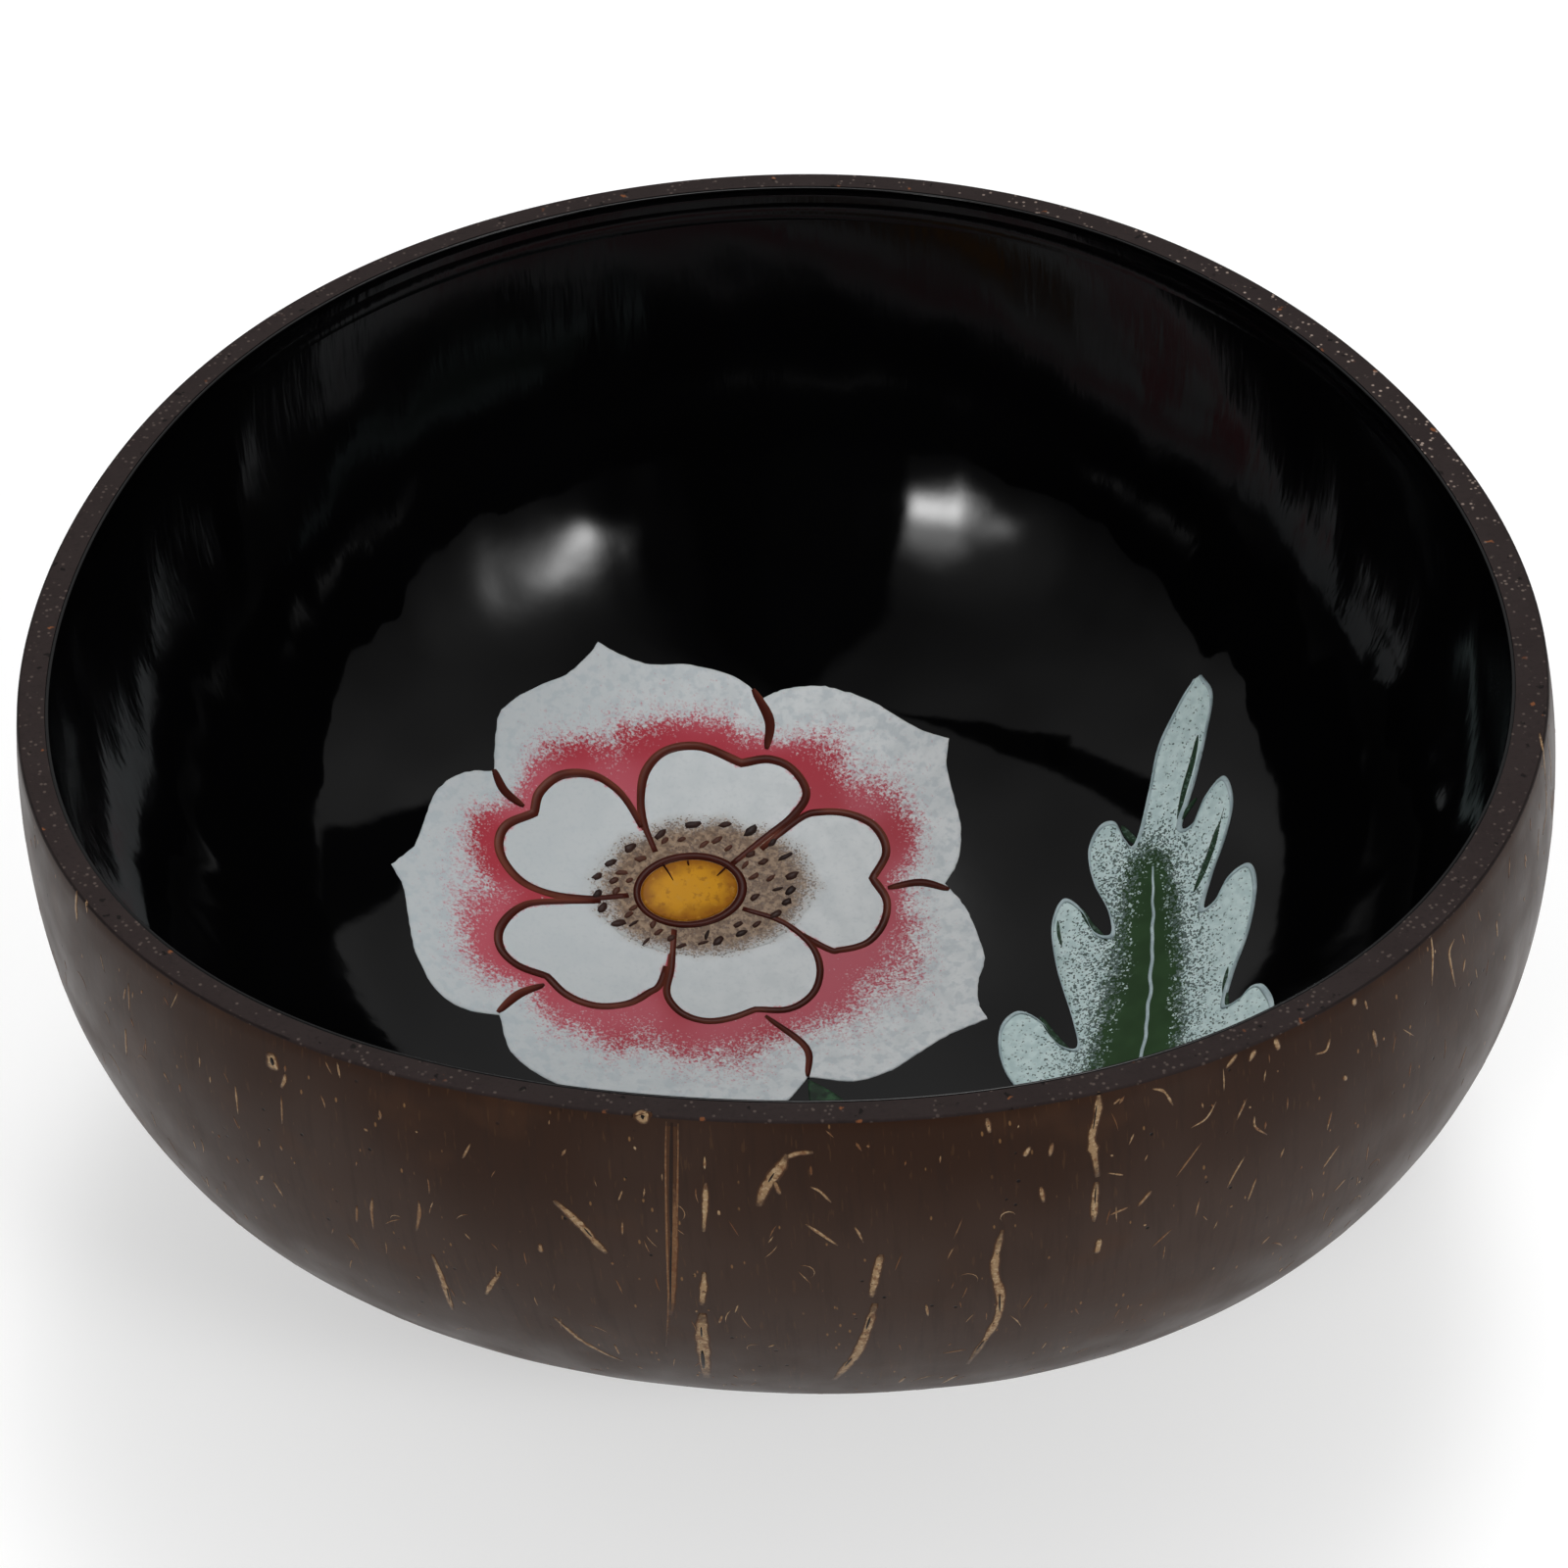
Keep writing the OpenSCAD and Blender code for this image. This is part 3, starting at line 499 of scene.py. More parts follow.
# The strands that the photograph shows one by one: the tone, the width in its pixels, and then x and
# y of each pixel that it runs through. A tone below 0 is the suture, a strand's dark edge or a hole.
strand_pixels = (
    (-0.4, 13, 686, 1137, 685, 1200, 685, 1260, 684, 1322, 681, 1362),
    (0.15, 2.4, 680, 1136, 679, 1180, 679.6, 1230, 681, 1290, 682, 1330, 679.6, 1374),
    (0.15, 2.4, 692, 1136, 691.6, 1190, 690.5, 1250, 689, 1300, 685, 1340),
    (-0.8, 5, 685.5, 1139, 685, 1180, 684.5, 1225, 685, 1262),
    (0.12, 7.5, 687, 1208, 688, 1245, 687.5, 1285, 686, 1318, 684, 1342),
    (-1, 2.2, 685.5, 1246, 684.5, 1290, 684, 1336),
    (0.75, 9, 565, 1225, 582, 1240, 597, 1255, 607, 1267, 619, 1279),
    (-1, 2.5, 596, 1253, 604, 1262), (0.8, 6, 441, 1280, 450, 1302, 456, 1320, 462, 1337),
    (-1, 2, 456, 1314, 459, 1327), (0.7, 5.5, 510, 1299, 501, 1311, 496, 1321),
    (0.8, 5, 565, 1344, 580, 1357, 592, 1367, 615, 1380, 636, 1389),
    (0.6, 2.5, 627, 1372, 632, 1382), (0.3, 3.5, 427, 1225, 428, 1237, 425, 1256),
    (0.45, 3, 380, 1222, 379, 1235, 381, 1254), (0.2, 3, 364, 1230, 364, 1247),
    (0.5, 2.4, 279, 1205, 289, 1221), (0.4, 2.6, 472, 1182, 480, 1167),
    (0.5, 2.4, 635, 1215, 631, 1225), (0.5, 2.4, 635, 1247, 635, 1260),
    (0.5, 5, 551, 1269, 552, 1278), (0.9, 12, 653, 1133, 655, 1139, 657, 1147),
    (-1, 4, 655, 1136, 656, 1142), (0.9, 3, 719, 1180, 719, 1193),
    (0.95, 6, 720, 1207, 719.5, 1230, 718, 1257), (0.8, 4, 733, 1235, 734, 1240),
    (0.85, 7, 718.5, 1298, 718, 1312, 716, 1332),
    (0.8, 13, 717, 1340, 716, 1360, 718, 1380, 721, 1406), (-1, 5, 716.5, 1378, 718, 1396),
    (-1, 2.5, 715.5, 1354, 716, 1364), (0.6, 3, 737, 1342, 734, 1350),
    (0.7, 11, 803, 1178, 797, 1190, 786, 1204, 779, 1216, 774, 1231),
    (-1, 2.5, 790, 1197, 784, 1206), (0.7, 5, 800, 1182, 814, 1177, 830, 1176),
    (0.5, 4, 790, 1205, 796, 1219), (0.7, 3, 827, 1211, 837, 1216, 848, 1227),
    (0.8, 3.4, 822, 1249, 837, 1259, 855, 1271), (0.5, 3, 872, 1252, 876, 1258, 881, 1268),
    (0.85, 9, 899, 1280, 894, 1300, 889, 1324),
    (0.8, 10, 893, 1330, 886, 1354, 875, 1380, 864, 1394, 851, 1408), (-1, 3, 888, 1344, 884, 1356),
    (-1, 2.5, 869, 1386, 862, 1394),
    (0.8, 8.5, 1023, 1255, 1017, 1278, 1015, 1298, 1021, 1322, 1018, 1344, 1007, 1364, 987, 1392),
    (-1, 2.5, 1020, 1320, 1020, 1338), (-1, 2.5, 1004, 1368, 996, 1378),
    (0.8, 9, 1121, 1114, 1120, 1136, 1114, 1160, 1117, 1180, 1120, 1201),
    (-1, 2, 1119, 1128, 1115.5, 1152), (0.8, 7.5, 1119, 1206, 1117, 1226, 1116, 1247),
    (-1, 2, 1118, 1212, 1117, 1228), (0.8, 7, 1122, 1264, 1121, 1271, 1119, 1279),
    (0.6, 5, 1007, 1141, 1010, 1156), (0.7, 5, 1045, 1180, 1051, 1170),
    (0.4, 4, 1074, 1166, 1071, 1180), (0.7, 5.5, 1062, 1211, 1065, 1227),
    (0.5, 2.4, 1136, 1127, 1143, 1121), (0.7, 2.6, 1131, 1197, 1146, 1199),
    (0.6, 2.4, 1152, 1168, 1157, 1157), (0.4, 4, 1161, 1231, 1175, 1215),
    (0.4, 3, 1132, 1240, 1151, 1232), (0.7, 3.4, 1176, 1111, 1188, 1114, 1197, 1128),
    (0.7, 2.6, 1215, 1151, 1231, 1141, 1241, 1124), (0.7, 4.5, 1251, 1090, 1262, 1076),
    (0.7, 5.5, 1275, 1083, 1281, 1071), (0.7, 6, 1301, 1060, 1305, 1071),
    (0.6, 2.4, 1280, 1139, 1281, 1150, 1293, 1158), (0.6, 2.6, 1262, 1143, 1272, 1121),
    (0.7, 3, 1252, 1212, 1260, 1197, 1270, 1180), (0.6, 2.4, 1273, 1226, 1282, 1202),
    (0.7, 3.4, 1342, 1076, 1353, 1072, 1357, 1060), (0.7, 5, 1371, 1098, 1374, 1102),
    (0.5, 5, 1381, 1019, 1383, 1026), (0.6, 4, 1401, 1051, 1405, 1068),
    (0.6, 2.4, 1354, 1153, 1359, 1134), (0.6, 2.6, 1349, 1193, 1366, 1169),
    (0.6, 2.4, 1361, 1216, 1373, 1203), (0.5, 2.4, 1287, 1270, 1296, 1261),
    (0.3, 2.2, 1200, 1201, 1226, 1166), (0.3, 2, 1175, 1273, 1196, 1254),
    (0.8, 3, 1460, 954, 1462, 975, 1461, 1006),
    (0.8, 3.4, 1484, 958, 1479, 971, 1481, 987, 1485, 1007), (0.7, 3, 1527, 939, 1528, 956),
    (0.6, 3, 1495, 978, 1493, 992), (0.8, 3, 945, 1331, 947, 1343),
    (0.7, 3.5, 960, 1412, 977, 1403), (0.6, 3, 917, 1411, 924, 1405),
    (0.3, 2, 962, 1381, 986, 1377), (0.8, 14, 276, 1074, 278, 1084, 279, 1092),
    (-1, 6, 277, 1079, 278.5, 1087), (0.7, 4, 291, 1096, 290, 1103, 287, 1110),
    (0.4, 2.4, 287, 1118, 288, 1147), (0.8, 4.5, 78.5, 909, 77.5, 924, 78.5, 941),
    (0.5, 3, 88, 918, 89, 932), (0.4, 2.4, 131, 1003, 132, 1032), (0.6, 3, 128, 1050, 129, 1077),
    (0.7, 2.4, 240, 1108, 243, 1137), (0.6, 2.6, 344, 1084, 347, 1100),
    (0.4, 2.2, 128, 1008, 126, 1020), (0.8, 3, 1571, 748, 1575, 770, 1577, 796),
    (0.7, 2.6, 1579, 752, 1582, 775, 1583, 802), (0.8, 3, 1577, 800, 1578, 826, 1574, 852),
    (0.6, 2.6, 1584, 806, 1583, 836), (0.7, 2.4, 1570, 846, 1569, 878),
)


shell_tree = BVHTree.FromPolygons((shell_points * MM).tolist(), shell_faces)
pixel_angle = lens.sensor_width / lens.lens / photo_width
draw = random.Random(11)
fibres, fibre_tones, fibre_ends = [], [], []
suture, strand_shade = -0.4, -0.45  # tones
strand, low_strand, hole_cap, hair = 0.016, 0.008, 0.03, 0.012  # how proud each ribbon stands
strand_root, hair_root = 0.05, 0.02


def add_fibre(line, out, widths, proud, sunk, kind):
    """Adds one ribbon, with its tone and how near each of its points lies to an end."""
    fibres.append(sliver(line, out, widths, proud, sunk))
    fibre_tones.extend([kind] * (4 * len(line)))
    fibre_ends.extend(np.repeat(1 - np.abs(np.linspace(-1, 1, len(line))), 4))


for number, (kind, pixels, *way) in enumerate(strand_pixels):
    seen = [met(shell_tree, x, y) for x, y in smooth(list(zip(way[::2], way[1::2])), 5)]
    line = np.array([spot for spot, normal in seen]) / MM
    out = np.array([normal for spot, normal in seen])
    t = np.linspace(0, 1, len(line))
    widths = pixels * pixel_angle * np.linalg.norm(line - np.array(camera_place) / MM, axis=1)
    if kind == suture:
        widths *= np.clip(1.6 * (1 - t), 0.1, 1) ** 0.7
    else:
        widths *= 0.2 + 0.8 * np.sqrt(np.clip(np.sin(math.pi * (0.02 + 0.96 * t)), 0, 1))
    if kind > -0.3:
        widths *= 1.15 + 0.45 * drift(line, 0.9, number) + 0.3 * drift(line, 0.4, number + 9)
        if pixels >= 4:
            add_fibre(line, out, 1.25 * widths + 0.1, low_strand, strand_root, strand_shade)
    proud = strand if kind > -0.3 else low_strand if kind > -0.5 else hole_cap
    add_fibre(line, out, widths, proud, strand_root, kind)

fibre_count = 1250
front = math.radians(-90)
fibre_foot, fibre_stop = 1.5, 0.6  # how near the foot and the rim they come
low_up = math.pi / 2 - math.atan2(eye - fibre_foot, base_r)
for number in range(fibre_count):
    a = draw.uniform(0, 2 * math.pi)
    rise_share = draw.uniform(0.06, 1) ** 0.75
    kind = draw.random()
    if kind < 0.22:  # a short broad dash
        length, width, curl = draw.uniform(0.4, 1.1), draw.uniform(0.16, 0.34), 0
    elif kind < 0.80:  # a fine hair
        length, width, curl = draw.uniform(0.7, 2.6), draw.uniform(0.08, 0.17), draw.gauss(0, 0.15)
    elif kind < 0.90:  # a curled hair
        length, width = draw.uniform(1.2, 2.6), draw.uniform(0.07, 0.12)
        curl = draw.choice((-1, 1)) * draw.uniform(0.5, 1.6)
    elif kind < 0.97 or math.cos(a - front) > 0.3:  # a dot, where a fibre ends on
        length, width, curl = draw.uniform(0.2, 0.45), draw.uniform(0.18, 0.34), 0
    else:  # a broad strand, away from the front
        length, width, curl = draw.uniform(2.5, 7), draw.uniform(0.35, 0.75), draw.gauss(0, 0.12)
    heading = math.pi / 2 + draw.gauss(0, 0.38)
    points = 3 if length < 1 else 7
    high_up = float(level_up(girth(a), shell_depth, belly_drop - fibre_stop))
    up = low_up + (high_up - low_up) * rise_share
    stretch_of_way = []
    for k in range(points):
        stretch_of_way.append((a, up))
        step_mm = length / (points - 1)
        a += step_mm * math.cos(heading) / (belly_r * max(math.sin(up), 0.2))
        up += step_mm * math.sin(heading) / belly_r
        heading += curl * step_mm
    if max(up for a, up in stretch_of_way) > high_up:
        continue
    turns, ups = np.array(stretch_of_way).T
    t = np.linspace(0, 1, points)
    widths = width * np.clip(np.sin(math.pi * (0.06 + 0.88 * t)), 0.1, 1) * (
        1 + 0.3 * np.array([draw.uniform(-1, 1) for k in range(points)]))
    out = outward(turns, ups)
    add_fibre(outside(turns, ups), out, widths, hair, hair_root, 0.9 * draw.random() ** 1.3)
fibre_points, fibre_faces = join_up(fibres)
fibre_piece = new_piece("shell_fibres", fibre_points, fibre_faces, [fibre_finish()])
mark(fibre_piece, "tone", fibre_tones)
mark(fibre_piece, "end", fibre_ends)
mark(fibre_piece, "across", np.tile((-1, -0.8, 0.8, 1), len(fibre_tones) // 4))


# The lining is black lacquer, poured and rubbed down in many coats until it shines like a mirror. It
# ends flush with the rim, where the sandpaper has left its edge a little round.
lacquer = 0.35
lining_depth = hollow_depth - lacquer
lacquer_swell = 0.03
flute_depth = 0.26
steep_from, steep_to = 0.95, 1.3  # angles from below, in radians


def lining_girth(a):
    """Inside radius of the lacquer at the belly."""
    return hollow_girth(a) - lacquer


def gloss_wall(way, lift=0.0):
    """The lacquer's face seen from the belly's middle along way, raised off it by lift.

    The nut's hollow is fluted along its steep wall, and the lacquer follows it.
    """
    way = np.asarray(way, float)
    width = lining_girth(np.arctan2(way[..., 1], way[..., 0]))
    reach = wall_reach(way, width, lining_depth)
    swell = drift(way * belly_r, 19, 5) + 0.35 * drift(way * belly_r, 7, 9)
    flutes = drift(way * belly_r * np.array((1, 1, 0.3)), 9, 12)
    flutes = flutes + 0.4 * drift(way * belly_r * np.array((1, 1, 0.4)), 4, 15)
    steep = ease(np.arccos(np.clip(-way[..., 2], -1, 1)), steep_from, steep_to)
    reach = reach + lacquer_swell * swell + flute_depth * steep * flutes - lift
    return lean_over(np.array([0, 0, eye]) + reach[..., None] * way)


def black_lacquer():
    """Deep black with a wet gloss, and a faint ripple from rubbing down by hand."""
    f = Finish("black_lacquer")
    spot = f.place()
    tone = f.mix(f.clouds(14, 2), colour(2, 2, 2), colour(4, 4, 5))
    dull = f.add("MapRange", Value=f.clouds(9, 2), From_Min=0.3, From_Max=0.7,
                 To_Min=0.035, To_Max=0.06)
    high_up_wall = f.step(f.level(2), 26, 42)
    dull = f.sum(dull, f.times(high_up_wall, 0.09))
    ripple = f.sum(f.clouds(3.2, 1), f.times(f.clouds(0.9, 1), 0.10))
    combed = f.clouds(0.8, 2, place=f.stretch(spot, 1, 1, 0.12))
    ripple = f.sum(ripple, f.times(f.times(combed, high_up_wall), 2.4))
    return f.shine(Base_Color=tone, Roughness=dull, Specular_IOR_Level=0.17,
                   Normal=f.bump(ripple, 0.010))


lining_rows = []
gloss_girth = lining_girth(compass)
gloss_ring = level_reach(gloss_girth, lining_depth, belly_drop)
edge_round = 0.12
edge_rows = 4
back_drop = 4  # how far down its unseen back goes
shell_lap = 0.01  # how far it stands over the sawn rim
lining_rows.append(level_ring(hollow_ring, height - back_drop))
lining_rows.append(level_ring(hollow_ring + 2 * shell_lap, height - shell_lap))
for k in range(edge_rows):
    bend = math.pi / 2 * k / (edge_rows - 1)
    lining_rows.append(level_ring(gloss_ring + edge_round * (1 - math.sin(bend)),
                                  height + shell_lap - edge_round * (1 - math.cos(bend))))
gloss_rows = 110
plain_rows = 16  # rows under the rim over which the flutes come in
top_up = level_up(gloss_girth, lining_depth, belly_drop - edge_round)
for k in range(gloss_rows):
    way = look(compass, top_up * (1 - k / gloss_rows))
    row = gloss_wall(way)
    fade = float(ease(k, 0, plain_rows))
    reach = wall_reach(way, gloss_girth, lining_depth)
    true_row = lean_over(np.array([0, 0, eye]) + reach[:, None] * way)
    lining_rows.append(true_row + fade * (row - true_row))
lining_faces = bands(len(lining_rows), around)
last_ring = (len(lining_rows) - 1) * around
lining_faces.append(tuple(last_ring + j for j in range(around)))
lining_points = np.concatenate(lining_rows)
lining = new_piece("lacquer_skin", lining_points, lining_faces, [black_lacquer()])
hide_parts("lacquer_lining")
gloss_tree = BVHTree.FromPolygons((lining_points * MM).tolist(), lining_faces)


# The flower is painted straight on the lacquer. Its first coat is five broad petals, white at the
# edge and dabbed with crimson towards the middle, where the pad's dots run together into pink.
flower_reach = 30
thin_coat = 0.09  # each later coat lies a multiple of it over the lacquer
sunk_coat = 0.08
edge_slope = 0.14


def motif(compass_turn, up, turn):
    """A motif's place on the wall: its middle's direction, and its own right and upward ways."""
    a, up, turn = np.radians((compass_turn, up, turn))
    across = np.array([math.sin(a), -math.cos(a), 0])
    rise = np.array([math.cos(up) * math.cos(a), math.cos(up) * math.sin(a), math.sin(up)])
    return (look(a, up), math.cos(turn) * across + math.sin(turn) * rise,
            math.cos(turn) * rise - math.sin(turn) * across)


def motif_reach(place):
    """How far the lacquer at a motif's middle lies from the belly's middle."""
    way = place[0]
    return float(wall_reach(way, lining_girth(math.atan2(way[1], way[0])), lining_depth))


def on_lacquer(place, points, lift):
    """Points of a motif, in millimetres from its middle, laid on the lacquer and raised by lift."""
    points = np.asarray(points, float)
    far = np.hypot(points[:, 0], points[:, 1])[:, None]
    turn = far / motif_reach(place)
    way = (points[:, :1] * place[1] + points[:, 1:2] * place[2]) / np.maximum(far, 1e-9)
    return gloss_wall(np.cos(turn) * place[0] + np.sin(turn) * way, lift)


def sideways(line, closed=False):
    """Unit vectors to the left of a line's travel."""
    if closed:
        along = np.roll(line, -1, 0) - np.roll(line, 1, 0)
    else:
        along = np.gradient(line, axis=0)
    left = np.stack([-along[:, 1], along[:, 0]], -1)
    return left / np.linalg.norm(left, axis=1, keepdims=True)


def away(points, line):
    """Distance of each point from a line."""
    start, end = line[:-1], line[1:]
    way = end - start
    off = points[:, None] - start
    t = np.clip((off * way).sum(2) / np.maximum((way * way).sum(1), 1e-12), 0, 1)
    return np.linalg.norm(off - t[..., None] * way, axis=2).min(1)


def closed_up(loop):
    """A loop that ends on its first point again."""
    return np.concatenate([loop, loop[:1]])


def fan(loop, middle, shares, top, dome=0.0):
    """A sheet of paint inside an anticlockwise loop: flat points, heights, faces and its edge."""
    count = len(loop)
    inner = loop + edge_slope * sideways(loop, True)
    rows = [middle + share * (inner - middle) for share in shares] + [inner, loop]
    heights = [top + dome * (1 - share * share) for share in shares] + [top, 0.25 * top]
    points = np.concatenate([[middle]] + rows)
    lifts = np.concatenate([[top + dome]] + [np.full(count, h) for h in heights])
    faces = [(0, 1 + i, 1 + (i + 1) % count) for i in range(count)]
    for k in range(len(rows) - 1):
        near, far = 1 + k * count, 1 + (k + 1) * count
        faces += [(near + i, far + i, far + (i + 1) % count, near + (i + 1) % count)
                  for i in range(count)]
    edge = [1 + (len(rows) - 1) * count + i for i in range(count)]
    return points, lifts, faces, [edge]


def strip(rows, lifts):
    """A sheet of paint between rows of points that run from the right of its travel to the left."""
    rows = np.asarray(rows, float)
    count, width = rows.shape[:2]
    faces = [(i * width + j, i * width + j + 1, i * width + width + j + 1, i * width + width + j)
             for i in range(count - 1) for j in range(width - 1)]
    edge = ([j for j in range(width)] + [i * width + width - 1 for i in range(1, count)]
            + [(count - 1) * width + j for j in range(width - 2, -1, -1)]
            + [i * width for i in range(count - 2, 0, -1)])
    return rows.reshape(-1, 2), np.broadcast_to(lifts, (count, width)).ravel(), faces, [edge]


def traced(place, pixels):
    """Where pixels of the photograph lie on a motif, in millimetres from its middle."""
    spots = []
    for x, y in pixels:
        spot = np.array(met(gloss_tree, x, y)[0]) / MM
        spot[0] += rim_shift * spot[2] / height
        way = spot - np.array([0, 0, eye])
        way /= np.linalg.norm(way)
        side = np.array((way @ place[1], way @ place[2]))
        spots.append(motif_reach(place) * math.acos(way @ place[0]) * side / np.linalg.norm(side))
    return np.array(spots)


def laid(place, sheet):
    """A closed body of paint from a sheet, its underside just inside the lacquer."""
    points, lifts, faces, edges = sheet
    count = len(points)
    body = np.concatenate([on_lacquer(place, points, lifts),
                           on_lacquer(place, points, -sunk_coat)])
    under = [tuple(v + count for v in reversed(face)) for face in faces]
    sides = [(a, a + count, b + count, b) for edge in edges
             for a, b in zip(edge, edge[1:] + edge[:1])]
    return body, list(faces) + under + sides


def ragged(loop, size, depth, seed):
    """A loop whose edge wanders in and out as a dry brush leaves it."""
    stir = drift(np.column_stack([loop, np.zeros(len(loop))]), size, seed)
    return loop + sideways(loop, True) * (depth * stir)[:, None]


# The petals' outlines, in shares of the flower's reach. An inner petal has before its points the
# stretch of them that its brush line follows.
outer_petal_shares = (
    ((-0.375, 0.555), (-0.325, 0.64), (-0.265, 0.715), (-0.15, 0.745), (-0.03, 0.755),
     (0.055, 0.785), (0.10, 0.81), (0.15, 0.757), (0.225, 0.705), (0.335, 0.665), (0.445, 0.59)),
    ((0.505, 0.50), (0.575, 0.50), (0.665, 0.475), (0.74, 0.425), (0.82, 0.345), (0.905, 0.225),
     (0.98, 0.155), (0.945, 0.075), (0.93, -0.03), (0.91, -0.155), (0.86, -0.265)),
    ((0.79, -0.33), (0.813, -0.43), (0.813, -0.54), (0.79, -0.69), (0.73, -0.78), (0.69, -0.875),
     (0.685, -0.96), (0.54, -0.97), (0.41, -1.0), (0.275, -1.04), (0.12, -1.03)),
    ((-0.02, -0.935), (-0.085, -0.975), (-0.165, -1.01), (-0.27, -0.985), (-0.39, -0.945),
     (-0.51, -0.93), (-0.60, -0.96), (-0.66, -0.79), (-0.755, -0.67), (-0.85, -0.53),
     (-0.885, -0.39)),
    ((-0.835, -0.24), (-0.925, -0.185), (-0.97, -0.085), (-0.95, 0.06), (-0.90, 0.18),
     (-0.855, 0.285), (-0.85, 0.36), (-0.745, 0.40), (-0.655, 0.48), (-0.57, 0.55),
     (-0.465, 0.575)),
)
inner_petal_shares = (
    (0, 11.5, ((-0.19, 0.045), (-0.32, 0.08), (-0.43, 0.14), (-0.49, 0.215), (-0.495, 0.315),
             (-0.435, 0.385), (-0.325, 0.40), (-0.275, 0.455), (-0.19, 0.485), (-0.105, 0.465),
             (-0.055, 0.415), (-0.03, 0.335), (-0.03, 0.16))),
    (0, 12, ((-0.03, 0.16), (-0.015, 0.265), (0.02, 0.35), (0.075, 0.42), (0.16, 0.455),
             (0.265, 0.43), (0.36, 0.338), (0.445, 0.318), (0.50, 0.26), (0.508, 0.17),
             (0.435, 0.115), (0.32, 0.078), (0.18, 0.03))),
    (0.35, 11.35, ((0.21, 0.015), (0.445, 0.095), (0.53, 0.09), (0.61, 0.045), (0.665, -0.03),
             (0.662, -0.13), (0.583, -0.205), (0.59, -0.31), (0.54, -0.395), (0.46, -0.445),
             (0.365, -0.435), (0.315, -0.395), (0.165, -0.12))),
    (0, 12, ((0.135, -0.14), (0.235, -0.245), (0.28, -0.375), (0.258, -0.49), (0.185, -0.577),
             (0.078, -0.605), (-0.03, -0.555), (-0.13, -0.555), (-0.215, -0.53),
             (-0.272, -0.463), (-0.275, -0.367), (-0.205, -0.27), (-0.117, -0.13))),
    (0.6, 11.7, ((-0.117, -0.13), (-0.262, -0.305), (-0.33, -0.335), (-0.42, -0.35),
             (-0.52, -0.32), (-0.585, -0.245), (-0.605, -0.15), (-0.67, -0.08),
             (-0.685, -0.005), (-0.645, 0.065), (-0.55, 0.115), (-0.45, 0.11),
             (-0.195, 0.025))),
)
petal_steps = 6
petal_tip = 6  # the point at which a petal is notched
flower_place = motif(116.6, 31.8, 0)


def two_stretches(points, notch):
    """A smooth outline in two stretches that meet sharply at one point."""
    first, second = smooth(points[:notch + 1], petal_steps), smooth(points[notch:], petal_steps)
    return np.concatenate([first[:-1], second])


flower_loop = []
for petal, after in zip(outer_petal_shares, outer_petal_shares[1:] + outer_petal_shares[:1]):
    flower_loop.append(two_stretches(petal + after[:1], petal_tip)[:-1])
flower_loop = flower_reach * np.concatenate(flower_loop)[::-1]
petal_lines = [flower_reach * two_stretches(points, petal_tip)
               for first, last, points in inner_petal_shares]


def paint(f, tone, roughness=0.42, gloss=0.12):
    """Enamel over the lacquer: a soft gloss and the faint texture that the brush leaves."""
    grain = f.sum(f.times(f.clouds(0.5, 2), 0.5), f.times(f.clouds(2.5, 1), 0.5))
    return f.shine(Base_Color=tone, Roughness=roughness, Specular_IOR_Level=gloss,
                   Normal=f.bump(grain, 0.012))


def petal_white_with_painted_light(f):
    """White enamel, uneven where the black shows through, with painted shade on the left and painted
    light on the right.
    """
    # Painted light and shade: the paint is greyer on the left, where more light falls, and whiter on
    # the right, where less falls.
    right = f.step(f.level(0), -36, 14)
    tone = f.mix(right, colour(183, 188, 190), colour(209, 212, 213))
    tone = f.veil(tone, colour(178, 185, 188), 2.5, 2, 0.35, 0.7, 0.4)
    return f.veil(tone, colour(166, 174, 180), 0.45, 2, 0.5, 0.7, 0.2)


def dabbed(f, amount, size):
    """Dots of a pad: 1 where a grain of about size millimetres takes the colour."""
    spot = f.place()
    warp = f.add("TexNoise", 1, Vector=spot, Scale=1 / size, Detail=1.0)
    warped = f.add("VectorMath", 0, {"operation": "MULTIPLY_ADD"}, _0=warp,
                   _1=(0.6 * size,) * 3, _2=spot)
    cell = f.add("SeparateColor", Color=f.grains(warped, size, "Color"))
    return f.step(f.less(f.times(amount, 1.12), cell), 0, 0.12)


def blurred(f, amount, size):
    """Dabs of a wet pad, which run into each other with soft edges."""
    cloud = f.times(f.less(f.clouds(size, 2), 0.32), 2.8)
    return f.step(f.less(f.times(amount, 1.35), cloud), 0, 0.3)


def outer_petal_finish():
    """Crimson dabs that run together on white, close by the inner petals and thinner further out."""
    f = Finish("crimson_on_white")
    out = f.sum(f.read("out"), f.adrift(6, 2, 0.5))
    amount = f.times(f.step(out, 0.98, 0.0), f.step(out, 1.15, 0.1))
    pink = f.sum(f.times(blurred(f, amount, 0.30), 0.45), f.times(blurred(f, amount, 0.6), 0.25))
    pink = f.sum(pink, f.times(dabbed(f, amount, 0.17), 0.30))
    crimson = f.veil(colour(160, 48, 61), colour(174, 78, 91), 12, 1, 0.4, 0.6)
    crimson = f.mix(f.step(amount, 0.55, 0.2), crimson, colour(184, 110, 120))
    white = f.mix(f.times(f.step(f.clouds(1.1, 3), 0.48, 0.62), 0.4), petal_white_with_painted_light(f),
                  colour(162, 173, 180))
    tone = f.mix(pink, white, crimson)
    dark = f.times(dabbed(f, f.times(f.times(amount, f.step(out, 0.12, 0.4)), 0.12), 0.2), 0.5)
    return paint(f, f.mix(dark, tone, colour(128, 44, 70)))


